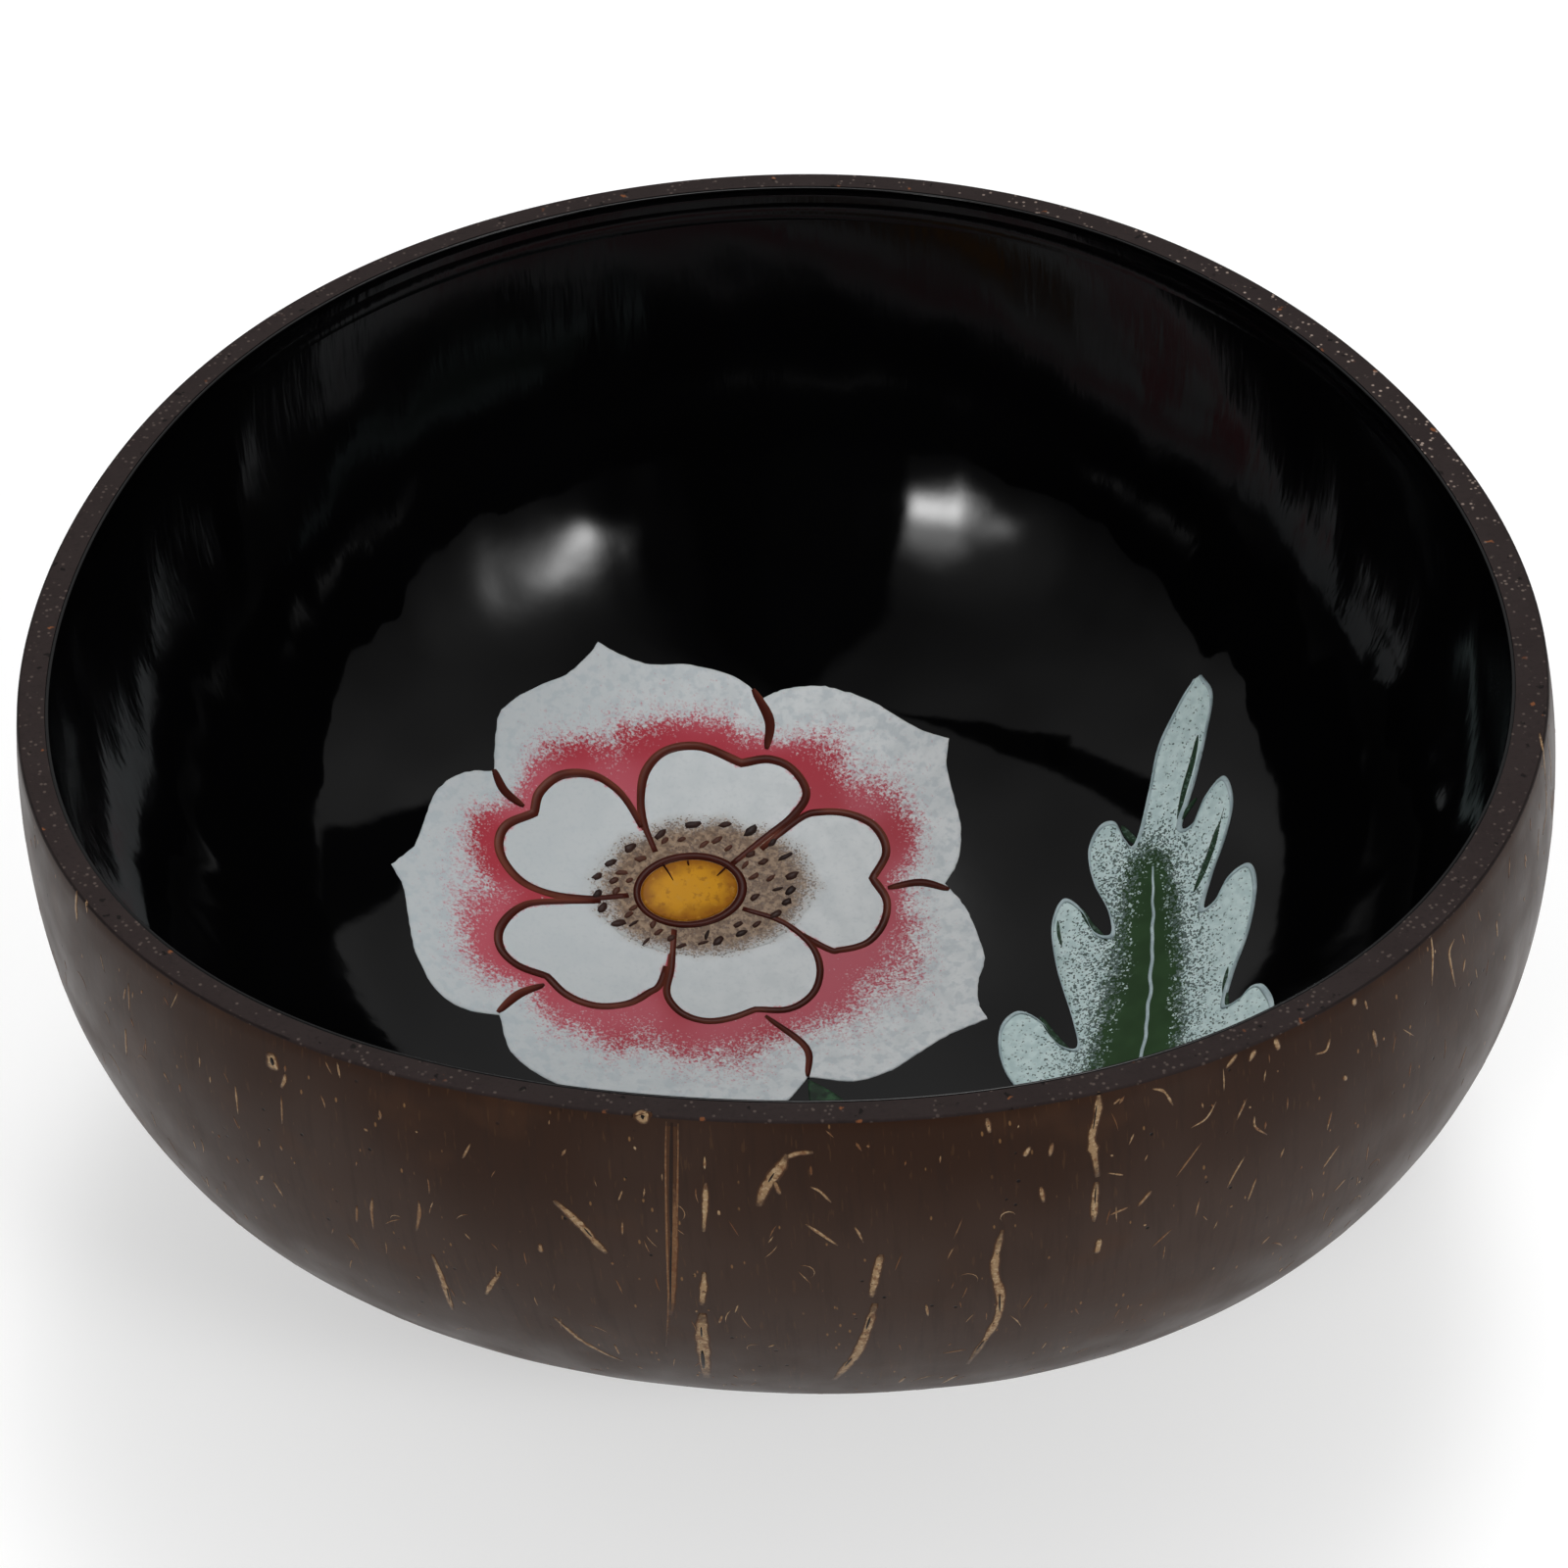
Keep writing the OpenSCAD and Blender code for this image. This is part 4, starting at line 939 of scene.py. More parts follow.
sheet = fan(ragged(flower_loop, 0.55, 0.10, 4), np.zeros(2), np.linspace(0.04, 0.98, 30),
            thin_coat)
outer_petals = new_piece("outer_petal_paint", *laid(flower_place, sheet), [outer_petal_finish()])
to_inner = np.min([away(sheet[0], closed_up(line)) for line in petal_lines], 0)
to_outer = away(sheet[0], closed_up(flower_loop))
mark(outer_petals, "out", np.tile(to_inner / (to_inner + to_outer + 1e-6), 2))
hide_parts("outer_petals")


# Five white heart-shaped petals go on next, over the pink. A tan pad is dabbed over their roots, so
# the stippled disc round the heart has no edge of its own.
disc_length, disc_width, disc_turn = 21.6, 15.6, -14
disc_middle = flower_reach * np.array((0.053, -0.028))
brush_width = 0.95


def oval(middle, length, width, turn, count=96):
    """An anticlockwise oval."""
    a = np.linspace(0, 2 * math.pi, count, endpoint=False)
    p = np.stack([length / 2 * np.cos(a), width / 2 * np.sin(a)], -1)
    c, s = math.cos(math.radians(turn)), math.sin(math.radians(turn))
    return middle + p @ np.array(((c, s), (-s, c)))


def disc_share(points):
    """How far out points lie from the disc's middle, 1 at its edge."""
    c, s = math.cos(math.radians(disc_turn)), math.sin(math.radians(disc_turn))
    p = (points - disc_middle) @ np.array(((c, -s), (s, c)))
    return np.hypot(2 * p[:, 0] / disc_length, 2 * p[:, 1] / disc_width)


def stippled(f, tone):
    """Tan and brown dots over a tone, thinning out past the disc's edge."""
    out = f.sum(f.read("disc"), f.adrift(3, 2, 0.25))
    amount = f.step(out, 1.14, 0.78)
    tan = f.veil(colour(104, 78, 54), colour(138, 112, 86), 0.6, 2, 0.4, 0.6)
    tan = f.mix(f.times(dabbed(f, 0.30, 0.22), 0.7), tan, colour(74, 48, 31))
    grown = f.mix(f.times(amount, 0.88), tone, tan)
    grown = f.mix(f.times(dabbed(f, f.times(amount, 0.9), 0.16), 0.6), grown, tan)
    fringe = f.times(f.times(amount, f.step(out, 0.7, 1.0)), 0.42)
    return f.mix(f.times(dabbed(f, fringe, 0.16), 0.5), grown, colour(92, 76, 62))


def inner_petal_finish():
    """White with a little pink left along its edge, and the disc's tan over its root."""
    f = Finish("white_enamel")
    tone = petal_white_with_painted_light(f)
    rim = f.sum(f.read("rim"), f.times(f.clouds(0.4, 2), -0.9))
    blush = f.times(f.step(rim, 0.10, -0.25), f.step(f.clouds(5, 1), 0.46, 0.56))
    tone = f.mix(f.times(blush, 0.8), tone, colour(196, 84, 100))
    return paint(f, stippled(f, tone))


parts, rims, shares = [], [], []
for (first, last, points), line in zip(inner_petal_shares, petal_lines):
    loop = line[::-1]
    middle = (line[0] + line[-1] + 2 * line[len(line) // 2]) / 4
    sheet = fan(loop, middle, np.linspace(0.1, 0.97, 12), 2 * thin_coat)
    parts.append(laid(flower_place, sheet))
    rims.append(np.tile(away(sheet[0], line), 2))
    shares.append(np.tile(disc_share(sheet[0]), 2))
inner_petals = new_piece("inner_petal_paint", *join_up(parts), [inner_petal_finish()])
mark(inner_petals, "rim", np.concatenate(rims))
mark(inner_petals, "disc", np.concatenate(shares))
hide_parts("inner_petals")


# The disc itself is one more coat of tan enamel, dabbed on round the heart with the same pad, so its
# edge is frayed.
def disc_finish():
    """The pad's tan and brown dots."""
    f = Finish("tan_stipple")
    return paint(f, stippled(f, petal_white_with_painted_light(f)))


sheet = fan(ragged(oval(disc_middle, 1.04 * disc_length, 1.04 * disc_width, disc_turn, 160),
                   1.4, 0.35, 6), disc_middle, np.linspace(0.1, 0.97, 12), 2.4 * thin_coat)
disc = new_piece("stamen_disc_paint", *laid(flower_place, sheet), [disc_finish()])
mark(disc, "disc", np.tile(disc_share(sheet[0]), 2))
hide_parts("stamen_disc")


# Brown brush lines go round the inner petals, between the outer ones and in over the disc. A full
# brush is pressed down in the middle of a stroke and lifted at its ends.
parting_shares = (
    ((-0.375, 0.56), (-0.377, 0.49), (-0.345, 0.43)),
    ((0.485, 0.535), (0.495, 0.43), (0.452, 0.352)),
    ((0.795, -0.36), (0.72, -0.29), (0.615, -0.262)),
    ((-0.02, -0.935), (0.045, -0.80), (-0.012, -0.60)),
    ((-0.837, -0.23), (-0.73, -0.185), (-0.635, -0.178)),
)


stroke_shares = (-1, -0.72, 0, 0.72, 1)  # the rows of a stroke, from its right edge to its left


def stroke(line, width, top, seed, thin=0.35):
    """A brush stroke along a line, fuller in its middle, with a rounded back."""
    t = np.linspace(0, 1, len(line))
    full = thin + (1 - thin) * np.sqrt(np.clip(np.sin(math.pi * t), 0, 1))
    full = full * (1 + 0.10 * drift(np.column_stack([line, np.zeros(len(line))]), 3, seed))
    half = (width / 2 * full)[:, None]
    left = sideways(line)
    rows = np.stack([line + left * half * share for share in stroke_shares], 1)
    return strip(rows, np.array((0.2, 0.85, 1, 0.85, 0.2)) * top)


def brown_finish():
    """Umber with red in it, lighter along one side of a stroke and almost black where it pools."""
    f = Finish("umber_brush_line")
    side = f.sum(f.read("across"), f.adrift(7, 2, 3))
    tone = f.mix(f.step(side, -0.5, 1.4), colour(66, 24, 15), colour(112, 60, 46))
    pool = f.step(f.clouds(9, 2), 0.46, 0.6)
    return paint(f, f.mix(f.times(pool, 0.85), tone, colour(56, 18, 11)), 0.34, 0.07)


parts, across = [], []
strokes = [(line[round(first * petal_steps):round(last * petal_steps) + 1], brush_width, 0.8)
           for (first, last, points), line in zip(inner_petal_shares, petal_lines)]
strokes += [(flower_reach * smooth(points, petal_steps), brush_width, 0.4)
            for points in parting_shares]
for number, (line, width, thin) in enumerate(strokes):
    parts.append(laid(flower_place, stroke(line, width, 3 * thin_coat, 20 + number, thin)))
    across.append(np.tile(stroke_shares, 2 * len(line)))
outlines = new_piece("petal_brush_lines", *join_up(parts), [brown_finish()])
mark(outlines, "across", np.concatenate(across))
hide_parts("petal_outlines")


# Two rings of dashes stand for the stamens' seeds: near-black ones at the disc's edge and browner
# ones by the heart, each a single touch of a small brush.
heart_length, heart_width, heart_turn = 9.8, 7, -7
heart_middle = flower_reach * np.array((0.003, -0.012))
ring_width = 0.9


def seed_finish():
    """Umber enamel, from near-black to brown."""
    f = Finish("seed_umber")
    tone = f.mix(f.read("tone"), colour(24, 13, 11), colour(88, 50, 36))
    return paint(f, f.mix(f.times(f.clouds(0.4, 1), 0.4), tone, colour(58, 32, 24)))


seed_pixels = (  # tone, length and width of the dash, and where the dashes are
    (0.04, 1.25, 0.62, ((707, 842), (740, 842), (766, 848), (788, 860), (801, 875), (808, 894),
                        (806, 910), (803, 921), (791, 934), (756, 953), (733, 961), (673, 852),
                        (631, 943), (614, 927), (609, 913), (609, 895), (623, 881), (642, 866))),
    (0.1, 1.2, 0.34, ((717, 963), (659, 961), (646, 943), (793, 908), (721, 955))),
    (0.35, 1.0, 0.55, ((685, 958), (766, 872), (779, 880), (770, 916), (772, 944), (753, 944),
                       (695, 966), (626, 899))),
    (0.75, 1.0, 0.5, ((678, 858), (695, 857), (731, 858), (743, 866), (769, 895), (786, 897),
                      (671, 952), (666, 944), (641, 934), (646, 927), (628, 910), (642, 899),
                      (634, 891), (653, 877), (718, 862), (760, 883))),
)
draw = random.Random(5)
parts, tones = [], []
dash_sides = 10
for dark, length, width, pixels in seed_pixels:
    for at in traced(flower_place, pixels):
        slant = math.radians(12 + draw.gauss(0, 20))
        long_half = 0.62 * length * draw.uniform(0.85, 1.15)
        wide_half = 0.6 * width * draw.uniform(0.85, 1.2)
        blob = []
        for side in range(dash_sides):
            b = 2 * math.pi * side / dash_sides
            wobble = draw.uniform(0.78, 1.15)
            x, y = long_half * math.cos(b) * wobble, wide_half * math.sin(b) * wobble
            blob.append(at + np.array((x * math.cos(slant) - y * math.sin(slant),
                                       x * math.sin(slant) + y * math.cos(slant))))
        blob = np.array(blob)
        points = np.concatenate([[at], at + 0.7 * (blob - at), blob])
        heights = np.repeat((3.6 * thin_coat, 2.2 * thin_coat), (1 + dash_sides, dash_sides))
        ring = [(i, (i + 1) % dash_sides) for i in range(dash_sides)]
        faces = [(0, 1 + i, 1 + j) for i, j in ring]
        faces += [(1 + i, 1 + dash_sides + i, 1 + dash_sides + j, 1 + j) for i, j in ring]
        edge = [1 + dash_sides + i for i in range(dash_sides)]
        parts.append(laid(flower_place, (points, heights, faces, [edge])))
        tones += [min(1, max(0, dark + draw.uniform(-0.15, 0.15)))] * (2 * len(points))
seeds = new_piece("stamen_seed_dashes", *join_up(parts), [seed_finish()])
mark(seeds, "tone", tones)
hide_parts("stamen_seeds")


# The heart is a low dome of thick gold enamel, dropped on the disc in one go, that dried a little
# cloudy.
def gold_finish():
    """Amber gold, browner and cloudier towards the ring."""
    f = Finish("amber_gold")
    side = f.sum(f.read("rim"), f.adrift(1.6, 3, 2.2))
    tone = f.mix(f.step(side, 0.1, 2.2), colour(140, 86, 14), colour(194, 136, 16))
    tone = f.veil(tone, colour(114, 64, 16), 0.7, 3, 0.55, 0.7, 0.5)
    tone = f.veil(tone, colour(188, 136, 44), 0.9, 3, 0.42, 0.30, 0.5)
    return paint(f, tone, 0.3, 0.03)


gold_loop = oval(heart_middle, heart_length + 0.2, heart_width + 0.2, heart_turn)
sheet = fan(gold_loop, heart_middle, np.linspace(0.1, 0.95, 10), 3.2 * thin_coat, 0.3)
heart = new_piece("golden_heart", *laid(flower_place, sheet), [gold_finish()])
mark(heart, "rim", np.tile(away(sheet[0], closed_up(gold_loop)), 2))
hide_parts("flower_heart")


# Three hairlines were drawn inwards over the gold with the tip of the brush, in the same umber as
# the ring, before it was closed round them.
hair_pixels = (((676, 883), (681, 891), (686, 900)), ((741, 885), (736, 890), (731, 895)),
               ((701, 879), (702, 884)))
hairs = join_up([laid(flower_place, stroke(smooth(traced(flower_place, pixels), 4), 0.2,
                                           6.6 * thin_coat, 60, 0.5)) for pixels in hair_pixels])
heart_hairs = new_piece("heart_hairlines", *hairs, [brown_finish()])
mark(heart_hairs, "across", np.full(len(hairs[0]), -1.0))


# The ring is one brown brush line round the heart. It hides the gold's edge, and the brush left it
# thicker on its right.
ring_shares = (0, 0.15, 0.5, 0.85, 1)
ring_tone = -1.6
ring_inner = oval(heart_middle, heart_length, heart_width, heart_turn)
ring_outer = oval(heart_middle + np.array((0.12, -0.03)), heart_length + 2 * ring_width,
                  heart_width + 2 * ring_width, heart_turn)
count = len(ring_inner)
ring_rows = [ring_inner + share * (ring_outer - ring_inner) for share in ring_shares]
bands_in = len(ring_shares) - 1
heights = np.repeat(np.array((0.4, 0.9, 1, 0.9, 0.3)) * 4.2 * thin_coat, count)
faces = [(k * count + i, (k + 1) * count + i, (k + 1) * count + (i + 1) % count,
          k * count + (i + 1) % count) for k in range(bands_in) for i in range(count)]
edges = [[bands_in * count + i for i in range(count)], list(reversed(range(count)))]
body = laid(flower_place, (np.concatenate(ring_rows), heights, faces, edges))
ring = new_piece("heart_brush_ring", *body, [brown_finish()])
mark(ring, "across", np.full(len(body[0]), ring_tone))
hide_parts("heart_ring")


# The leaf is one coat of green enamel on the lacquer, laid as lobes down both sides of a midrib.
# White is dabbed over it from the edge inwards while it is wet, so that the lobes end pale.
leaf_reach = 20
leaf_steps = 10
leaf_gap = 0.74
leaf_side_share = 0.74
leaf_way = math.radians(-25.8)
leaf_far = flower_reach + leaf_gap + leaf_side_share * leaf_reach
leaf_turn = leaf_far / motif_reach(flower_place)
leaf_look = (math.cos(leaf_turn) * flower_place[0]
             + math.sin(leaf_turn) * (math.cos(leaf_way) * flower_place[1]
                                      + math.sin(leaf_way) * flower_place[2]))
leaf_place = motif(math.degrees(math.atan2(leaf_look[1], leaf_look[0])),
                   math.degrees(math.acos(-leaf_look[2])), 55.7)
# In shares of the leaf's reach: for each pair of lobes the right edge and the left one. The core has
# its right, middle and left where the pairs begin and end.
leaf_shares = (
    (((0.39, 0.93), (0.425, 0.825), (0.36, 0.66), (0.275, 0.46), (0.185, 0.25)),
     ((0.345, 0.925), (0.255, 0.855), (0.115, 0.695), (0.035, 0.48), (-0.055, 0.23))),
    (((0.25, 0.245), (0.32, 0.36), (0.42, 0.425), (0.455, 0.295), (0.41, 0.13), (0.335, -0.05),
      (0.285, -0.235)),
     ((-0.105, 0.27), (-0.15, 0.38), (-0.23, 0.375), (-0.29, 0.255), (-0.27, 0.065),
      (-0.20, -0.12), (-0.185, -0.27))),
    (((0.35, -0.215), (0.42, -0.10), (0.52, -0.07), (0.555, -0.20), (0.52, -0.44),
      (0.455, -0.665), (0.43, -0.86)),
     ((-0.27, -0.235), (-0.335, -0.08), (-0.43, 0.005), (-0.49, -0.155), (-0.455, -0.455),
      (-0.355, -0.81), (-0.315, -1.01))),
    (((0.51, -0.84), (0.56, -0.785), (0.615, -0.795), (0.675, -0.915), (0.68, -1.075),
      (0.59, -1.25), (0.44, -1.40)),
     ((-0.42, -0.97), (-0.53, -0.79), (-0.655, -0.71), (-0.74, -0.815), (-0.725, -1.04),
      (-0.625, -1.265), (-0.44, -1.44))),
    (((0.33, -1.54), (0.18, -1.68), (0.07, -1.80)),
     ((-0.28, -1.56), (-0.13, -1.70), (-0.02, -1.80))),
)
leaf_core_shares = (
    ((0.38, 0.93), (0.368, 0.928), (0.355, 0.926)),
    ((0.125, 0.255), (0.03, 0.25), (0, 0.20)),
    ((0.17, -0.30), (0.03, -0.32), (-0.11, -0.36)),
    ((0.24, -1.00), (0.04, -0.98), (-0.27, -1.08)),
    ((0.22, -1.40), (0.01, -1.40), (-0.36, -1.42)),
    ((0.045, -1.80), (0.025, -1.80), (0, -1.80)),
)
root_share = 0.6


def leaf_side(side):
    """The leaf's right edge, 0, or its left one, 1, from the tip down."""
    return leaf_reach * smooth([p for group in leaf_shares for p in group[side]], leaf_steps)


def leaf_core(line):
    """One of the three lines inside the leaf: 0 is the right one, 1 the midrib's, 2 the left."""
    points = []
    for number, group in enumerate(leaf_shares):
        count = len(group[0])
        start, end = (np.array(leaf_core_shares[number + k][line]) for k in (0, 1))
        for i in range(count):
            way = i / (count - 1) if number == 0 else ((i + 1) / count) ** root_share
            points.append(start + way * (end - start))
    return leaf_reach * smooth(points, leaf_steps)


leaf_right, leaf_left = leaf_side(0), leaf_side(1)
core_right, leaf_middle, core_left = leaf_core(0), leaf_core(1), leaf_core(2)
rib_from = len(leaf_shares[0][0]) * leaf_steps
rib_to = len(leaf_middle) - len(leaf_shares[-1][0]) * leaf_steps
rib_line = leaf_middle[rib_from:rib_to]


def leaf_finish():
    """Green beside the midrib, and pale grey-green dots that close up towards the edge."""
    f = Finish("leaf_green")
    green = f.veil(colour(36, 60, 32), colour(42, 68, 38), 4, 2, 0.35, 0.65)
    pale = f.veil(colour(182, 203, 203), colour(201, 219, 218), 0.9, 3, 0.35, 0.65)
    out = f.sum(f.read("out"), f.adrift(3.0, 2, 1.6))
    amount = f.step(out, -0.5, 5.0)
    soft = f.mix(f.step(out, 2.4, 6.4), green, pale)
    tone = f.mix(dabbed(f, amount, 0.17), soft, pale)
    tone = f.mix(f.times(dabbed(f, f.times(amount, 0.5), 0.27), 0.8), tone, pale)
    far = f.times(f.sum(f.times(f.step(out, 10.0, 2.0), 0.34), 0.10), f.step(out, 0.5, 2.0))
    tone = f.mix(f.times(dabbed(f, far, 0.17), 0.85), tone, colour(32, 52, 44))
    return paint(f, tone)


rows = []
for i in range(len(leaf_middle)):
    right_way, left_way = core_right[i] - leaf_right[i], core_left[i] - leaf_left[i]
    right_in = min(0.4, edge_slope / np.linalg.norm(right_way))
    left_in = min(0.4, edge_slope / np.linalg.norm(left_way))
    row = [leaf_right[i] + share * right_way for share in (0, right_in, 0.42, 0.6, 0.8, 1)]
    row += [core_right[i] + share * (leaf_middle[i] - core_right[i]) for share in (0.5, 1)]
    row += [leaf_middle[i] + share * (core_left[i] - leaf_middle[i]) for share in (0.5, 1)]
    row += [leaf_left[i] + share * left_way for share in (0.8, 0.6, 0.42, left_in, 0)]
    rows.append(row)
low_edge = (0.25,) + (1,) * 13 + (0.25,)
sheet = strip(np.array(rows), np.array(low_edge) * thin_coat)
leaf = new_piece("leaf_paint", *laid(leaf_place, sheet), [leaf_finish()])
near = away(sheet[0], rib_line)
rib_at = np.interp(sheet[0][:, 1], rib_line[::-1, 1], rib_line[::-1, 0])
near = near * np.where(sheet[0][:, 0] > rib_at, 1.4, 1)
down = np.clip((rib_line[0][1] - sheet[0][:, 1]), 0, None)
# The green keeps further out towards the stalk.
mark(leaf, "out", np.tile(near - 0.5 * (1 - np.exp(-down / 3)) - 0.11 * down, 2))
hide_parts("leaf_blade")


# A few dark green strokes show beside the lobes, thin enamel of the leaf's first brushing that the
# white dabs don't cover.
shade_pixels = (  # width in millimetres, and the pixels that a dark green stroke runs through
    (0.75, (1223, 750), (1217, 778), (1209, 806), (1202, 836)),
    (0.9, (1250, 824), (1242, 852), (1232, 880), (1219, 910)),
    (0.5, (1080, 940), (1081, 953), (1084, 966)),
    (0.7, (1145, 843), (1152, 853), (1163, 862)),
    (0.6, (1102, 926), (1113, 944), (1131, 961)),
    (0.7, (1062, 1038), (1074, 1056), (1093, 1074)),
    (0.5, (1205, 838), (1212, 826), (1221, 814)),
    (0.6, (1254, 987), (1250, 1008), (1253, 1030)),
)
parts = [laid(leaf_place, stroke(smooth(traced(leaf_place, pixels), 5), width, 1.7 * thin_coat,
                                 70 + number, 0.15))
         for number, (width, *pixels) in enumerate(shade_pixels)]


def shade_finish():
    """The dark green under-coat, thin where it shows past the leaf's edge."""
    f = Finish("dark_green_glaze")
    tone = f.mix(f.clouds(1.2, 2), colour(22, 42, 26), colour(42, 66, 46))
    return paint(f, f.mix(f.times(dabbed(f, 0.2, 0.2), 0.5), tone, colour(96, 118, 110)))


shades = new_piece("leaf_dark_strokes", *join_up(parts), [shade_finish()])


# The edge line is grey-blue enamel, run along both sides of the leaf with a fine brush. It stands a
# little proud of the green, and thins towards the tip and the stalk.
def pale_line_finish():
    """Grey-blue with a few green dots left showing in it."""
    f = Finish("pale_grey_blue")
    tone = f.veil(colour(150, 168, 172), colour(178, 195, 198), 1.8, 3, 0.35, 0.65)
    tone = f.mix(f.times(dabbed(f, 0.06, 0.22), 0.6), tone, colour(86, 104, 100))
    return paint(f, tone, 0.28)


edge_width = 0.62
parts = []
for number, (side, core, turn) in enumerate(((leaf_right, core_right, -1),
                                             (leaf_left, core_left, 1))):
    t = np.linspace(0, 1, len(side))
    width = edge_width * (0.35 + 0.65 * np.sqrt(np.clip(np.sin(math.pi * t), 0, 1)))
    width = width * (1 + 0.28 * drift(np.column_stack([side, np.zeros(len(side))]), 2.6,
                                      40 + number))
    way = (core - side) / np.linalg.norm(core - side, axis=1, keepdims=True)
    across = [side + way * (width * share)[:, None] for share in (-0.05, 0.2, 0.55, 0.9, 1.05)]
    if turn > 0:
        across = across[::-1]
    parts.append(laid(leaf_place, strip(np.stack(across, 1),
                                        np.array((0.2, 0.9, 1, 0.9, 0.2)) * 2.6 * thin_coat)))
edge = new_piece("leaf_edge_line", *join_up(parts), [pale_line_finish()])
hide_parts("leaf_edge")


# The midrib is one stroke of the same grey-blue, drawn over the green from the stalk to the tip with
# a hand that wandered a little.
rib_width = 0.40
rib_brushed = rib_line[::-1]
rib_stir = drift(np.column_stack([rib_brushed, np.zeros(len(rib_brushed))]), 2.2, 33)
rib_brushed = rib_brushed + sideways(rib_brushed) * (0.2 * rib_stir)[:, None]
body = laid(leaf_place, stroke(rib_brushed, rib_width, 2.4 * thin_coat, 50))
rib = new_piece("leaf_midrib_line", *body, [pale_line_finish()])
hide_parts("leaf_midrib")


# A small leaf of thin dark green enamel lies on the lacquer under the flower's lowest petals, which
# were painted over most of it.
sprig_length, sprig_width = 13, 4.4
sprig_top = flower_reach * np.array((-0.025, -0.945))
t = np.linspace(0, 1, 40)
half = sprig_width / 2 * np.sin(math.pi * t)
right_side = np.stack([half, -sprig_length * t], -1)
left_side = np.stack([-half, -sprig_length * t], -1)
sprig_loop = sprig_top + np.concatenate([left_side, right_side[-2:0:-1]])


def sprig_finish():
    """Two greens brushed into each other, darker in patches."""
    f = Finish("dark_leaf_green")
    tone = f.veil(colour(26, 46, 30), colour(44, 78, 50), 1.2, 2, 0.4, 0.6)
    return paint(f, f.veil(tone, colour(14, 24, 18), 0.8, 2, 0.5, 0.62, 0.8))


sheet = fan(sprig_loop, sprig_top - np.array((0, sprig_length / 2)), np.linspace(0.15, 0.95, 6),
            0.5 * thin_coat)
sprig = new_piece("small_leaf_paint", *laid(flower_place, sheet), [sprig_finish()])
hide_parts("small_leaf")


# The studio: a plain pale table under a soft grey sky of diffusers. The sky is brighter behind the
# bowl than in front of it, and has lamps whose glow shows in the lacquer.
floor_half = 2000
floor_sunk = 0.02
floor_glow = 0.42  # added where the camera, a mirror or glass sees the table, so that it looks white


def studio_floor():
    """Pale matt paper."""
    f = Finish("pale_table")
    tone = f.mix(f.clouds(60, 2), colour(204, 204, 204), colour(208, 208, 208))
    paper = f.add("BsdfDiffuse", Color=tone)
    seen = f.add("LightPath", "Is Camera Ray")
    for ray in ("Is Glossy Ray", "Is Transmission Ray"):
        seen = f.sum(seen, f.add("LightPath", ray), "MAXIMUM")
    glow = f.add("Emission", Color=(1, 1, 1, 1), Strength=f.times(seen, floor_glow))
    f.add("OutputMaterial", Surface=f.add("AddShader", _0=paper, _1=glow))
    return f.material


floor_mesh = bpy.data.meshes.new("table_top")
floor_mesh.from_pydata([(x * floor_half * MM, y * floor_half * MM, -floor_sunk * MM)
                        for x, y in ((-1, -1), (1, -1), (1, 1), (-1, 1))], [], [(0, 1, 2, 3)])
floor_mesh.materials.append(studio_floor())
floor = bpy.data.objects.new("table_top", floor_mesh)
bpy.context.scene.collection.objects.link(floor)


def mirrored(x, y):
    """Where the lacquer at a pixel of the photograph looks."""
    normal = met(gloss_tree, x, y)[1]
    return sight(x, y) - 2 * sight(x, y).dot(normal) * normal


world = bpy.data.worlds.new("studio")
bpy.context.scene.world = world
sky = Finish("studio", world)
sky_grey = 0.8
sky_way = sky.add("TexCoord", "Generated")


def sky_patch(way, corners, soft):
    """1 where the sky is mirrored between some pixels of the photograph, 0 elsewhere."""
    ways = [mirrored(x, y) for x, y in corners]
    middle = sum(ways, Vector())
    inside = 1.0
    for one, other in zip(ways, ways[1:] + ways[:1]):
        wall = one.cross(other).normalized()
        wall = wall if wall.dot(middle) > 0 else -wall
        side = sky.add("VectorMath", "Value", {"operation": "DOT_PRODUCT"}, _0=way,
                       _1=tuple(wall))
        inside = sky.times(sky.step(side, -soft, soft), inside)
    return inside


def sky_rise(axis, low, high, dim):
    """1 from high on along an axis of the sky, and dim up to low."""
    return sky.add("MapRange", 0, {"interpolation_type": "SMOOTHSTEP"},
                   Value=sky.add("SeparateXYZ", axis, Vector=sky_way), From_Min=low,
                   From_Max=high, To_Min=dim, To_Max=1.0)


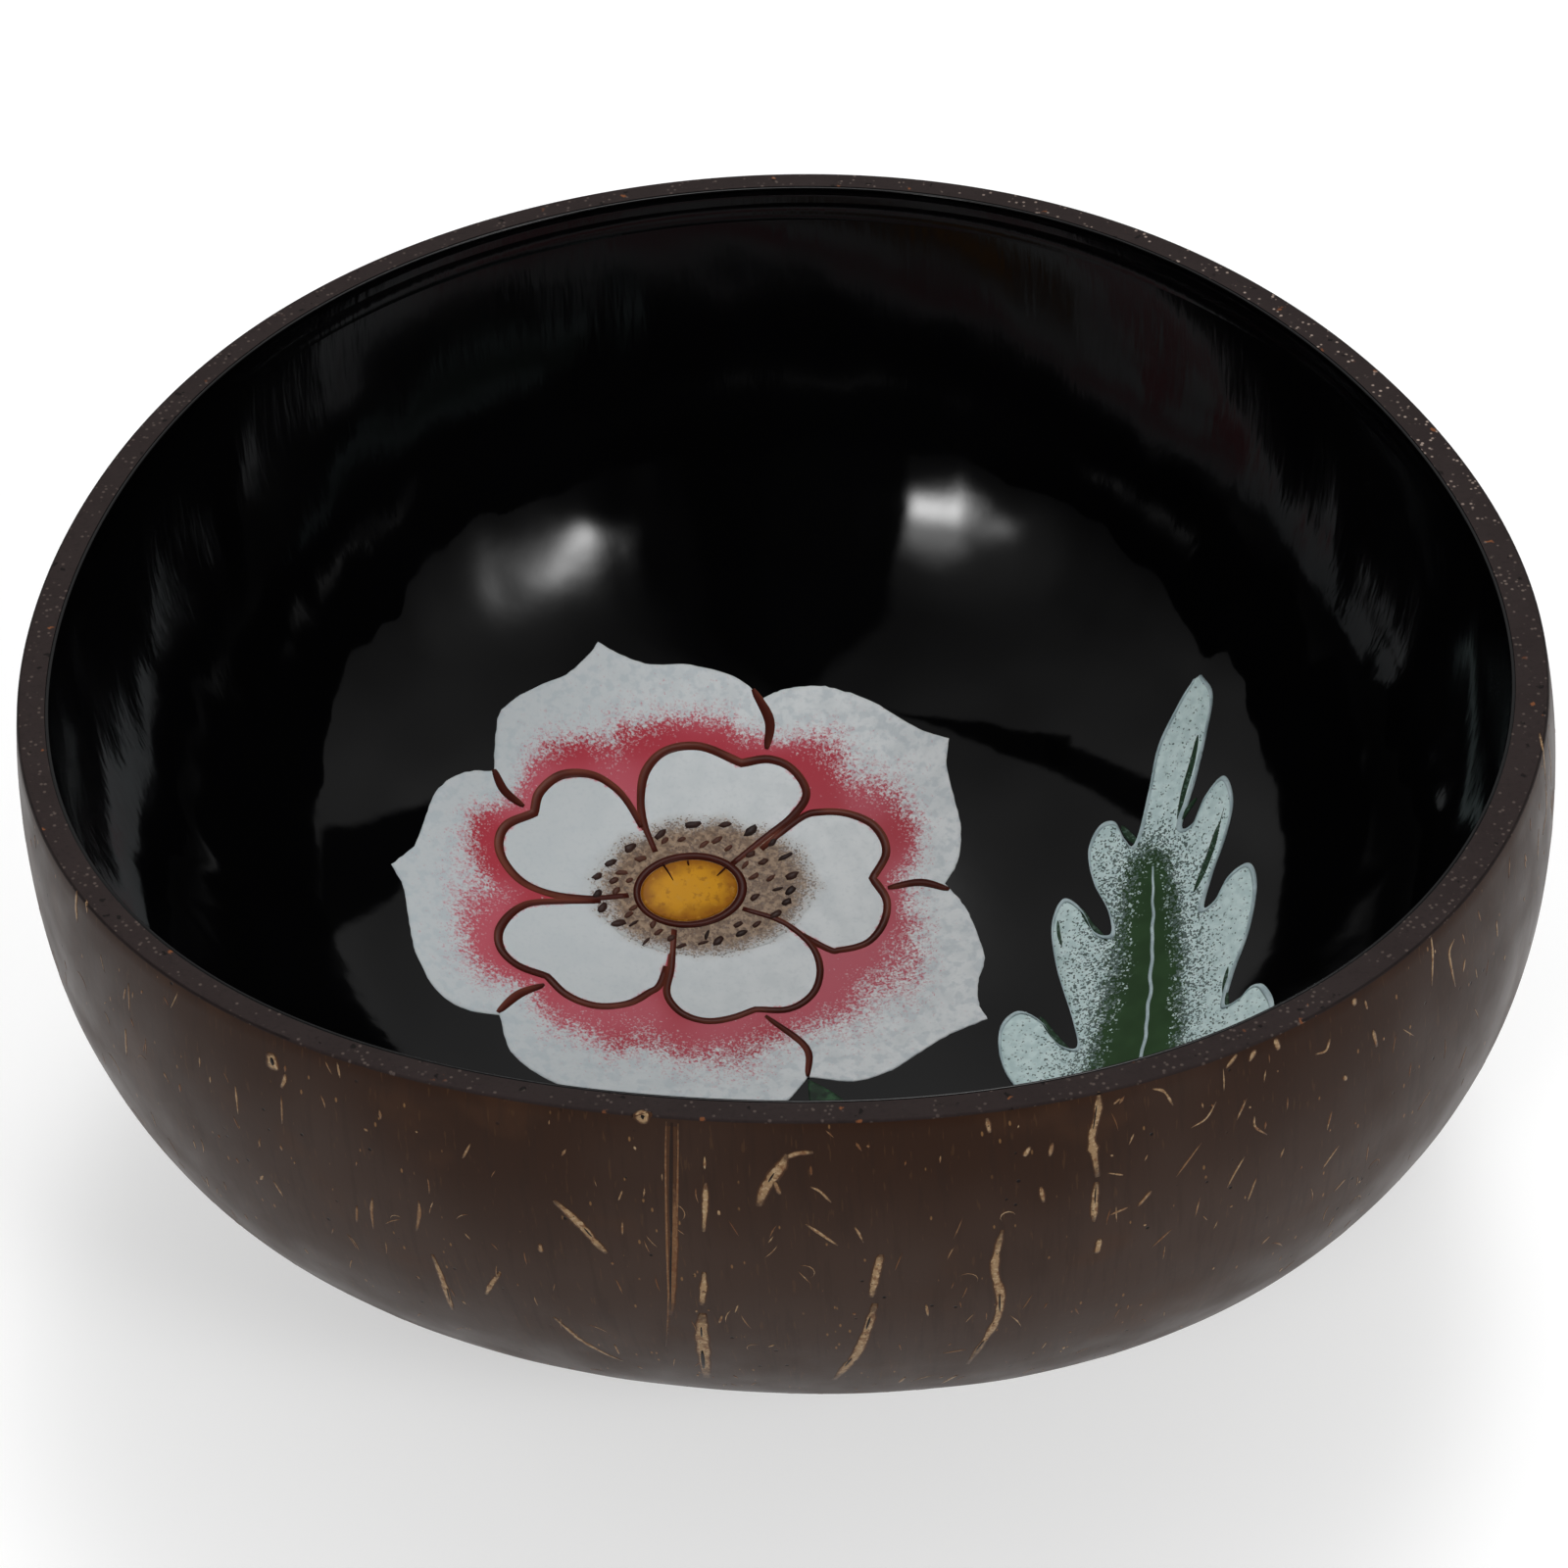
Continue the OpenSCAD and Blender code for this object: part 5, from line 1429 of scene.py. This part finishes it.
light = sky_rise(2, 0.08, 0.55, 0.15)
drifting = sky.add("TexNoise", Vector=sky_way, Scale=3.0, Detail=1.0)
light = sky.times(light, sky.sum(drifting, 0.5))
light = sky.times(sky.times(light, sky_rise(1, -0.5, 0.35, 0.3)), sky_grey)
lamp_glows = (  # the pixel that mirrors a glow, its strength and how narrow it is
    ((603, 550), 26.0, 300), ((588, 560), 14.0, 300), ((562, 578), 9.0, 160), ((540, 600), 0.6, 30),
    ((944, 512), 30.0, 420), ((948, 530), 24.0, 420), ((952, 552), 7.0, 300),
    ((1018, 532), 6.0, 420), ((1000, 560), 0.5, 30),
    ((770, 905), 16.0, 80),  # the lamp that lights the flower, its mirror image hidden under it
)
for pixel, strength, sharpness in lamp_glows:
    facing = sky.add("VectorMath", "Value", {"operation": "DOT_PRODUCT"}, _0=sky_way,
                     _1=tuple(mirrored(*pixel)))
    facing = sky.sum(sky.sum(facing, 0.0, "MAXIMUM"), sharpness, "POWER")
    light = sky.sum(light, sky.times(facing, strength))
dark_patches = (  # the pixels round what a patch darkens, its edge's softness and its depth
    (((720, 440), (918, 430), (903, 640), (800, 720), (720, 640)), 0.03, 0.90),
    (((662, 440), (800, 430), (790, 740), (690, 690)), 0.09, 0.85),
    (((328, 845), (460, 812), (402, 910), (331, 958)), 0.012, 0.97),
    (((905, 720), (1090, 753), (1090, 790)), 0.008, 0.97),
    (((1068, 750), (1180, 800), (1180, 850), (1068, 782)), 0.008, 0.97),
)
patch_stir = 0.04
stir = sky.add("TexNoise", 1, Vector=sky_way, Scale=7.0, Detail=3.0)
stir = sky.add("VectorMath", 0, {"operation": "SUBTRACT"}, _0=stir, _1=(0.5, 0.5, 0.5))
ragged_way = sky.add("VectorMath", 0, {"operation": "MULTIPLY_ADD"}, _0=stir,
                     _1=(patch_stir,) * 3, _2=sky_way)
for corners, soft, depth in dark_patches:
    shade = sky.times(sky_patch(ragged_way, corners, soft), depth)
    light = sky.times(light, sky.less(1.0, shade))
shone = sky.add("Background", Color=(1, 1, 1, 1), Strength=light)
plain = sky.add("Background", Color=(1, 1, 1, 1), Strength=1.0)
seen = sky.sum(sky.add("LightPath", "Is Camera Ray"), sky.add("LightPath", "Is Transmission Ray"),
               "MAXIMUM")
sky.add("OutputWorld", Surface=sky.add("MixShader", _0=seen, _1=shone, _2=plain))

bpy.context.scene.view_settings.view_transform = "Standard"
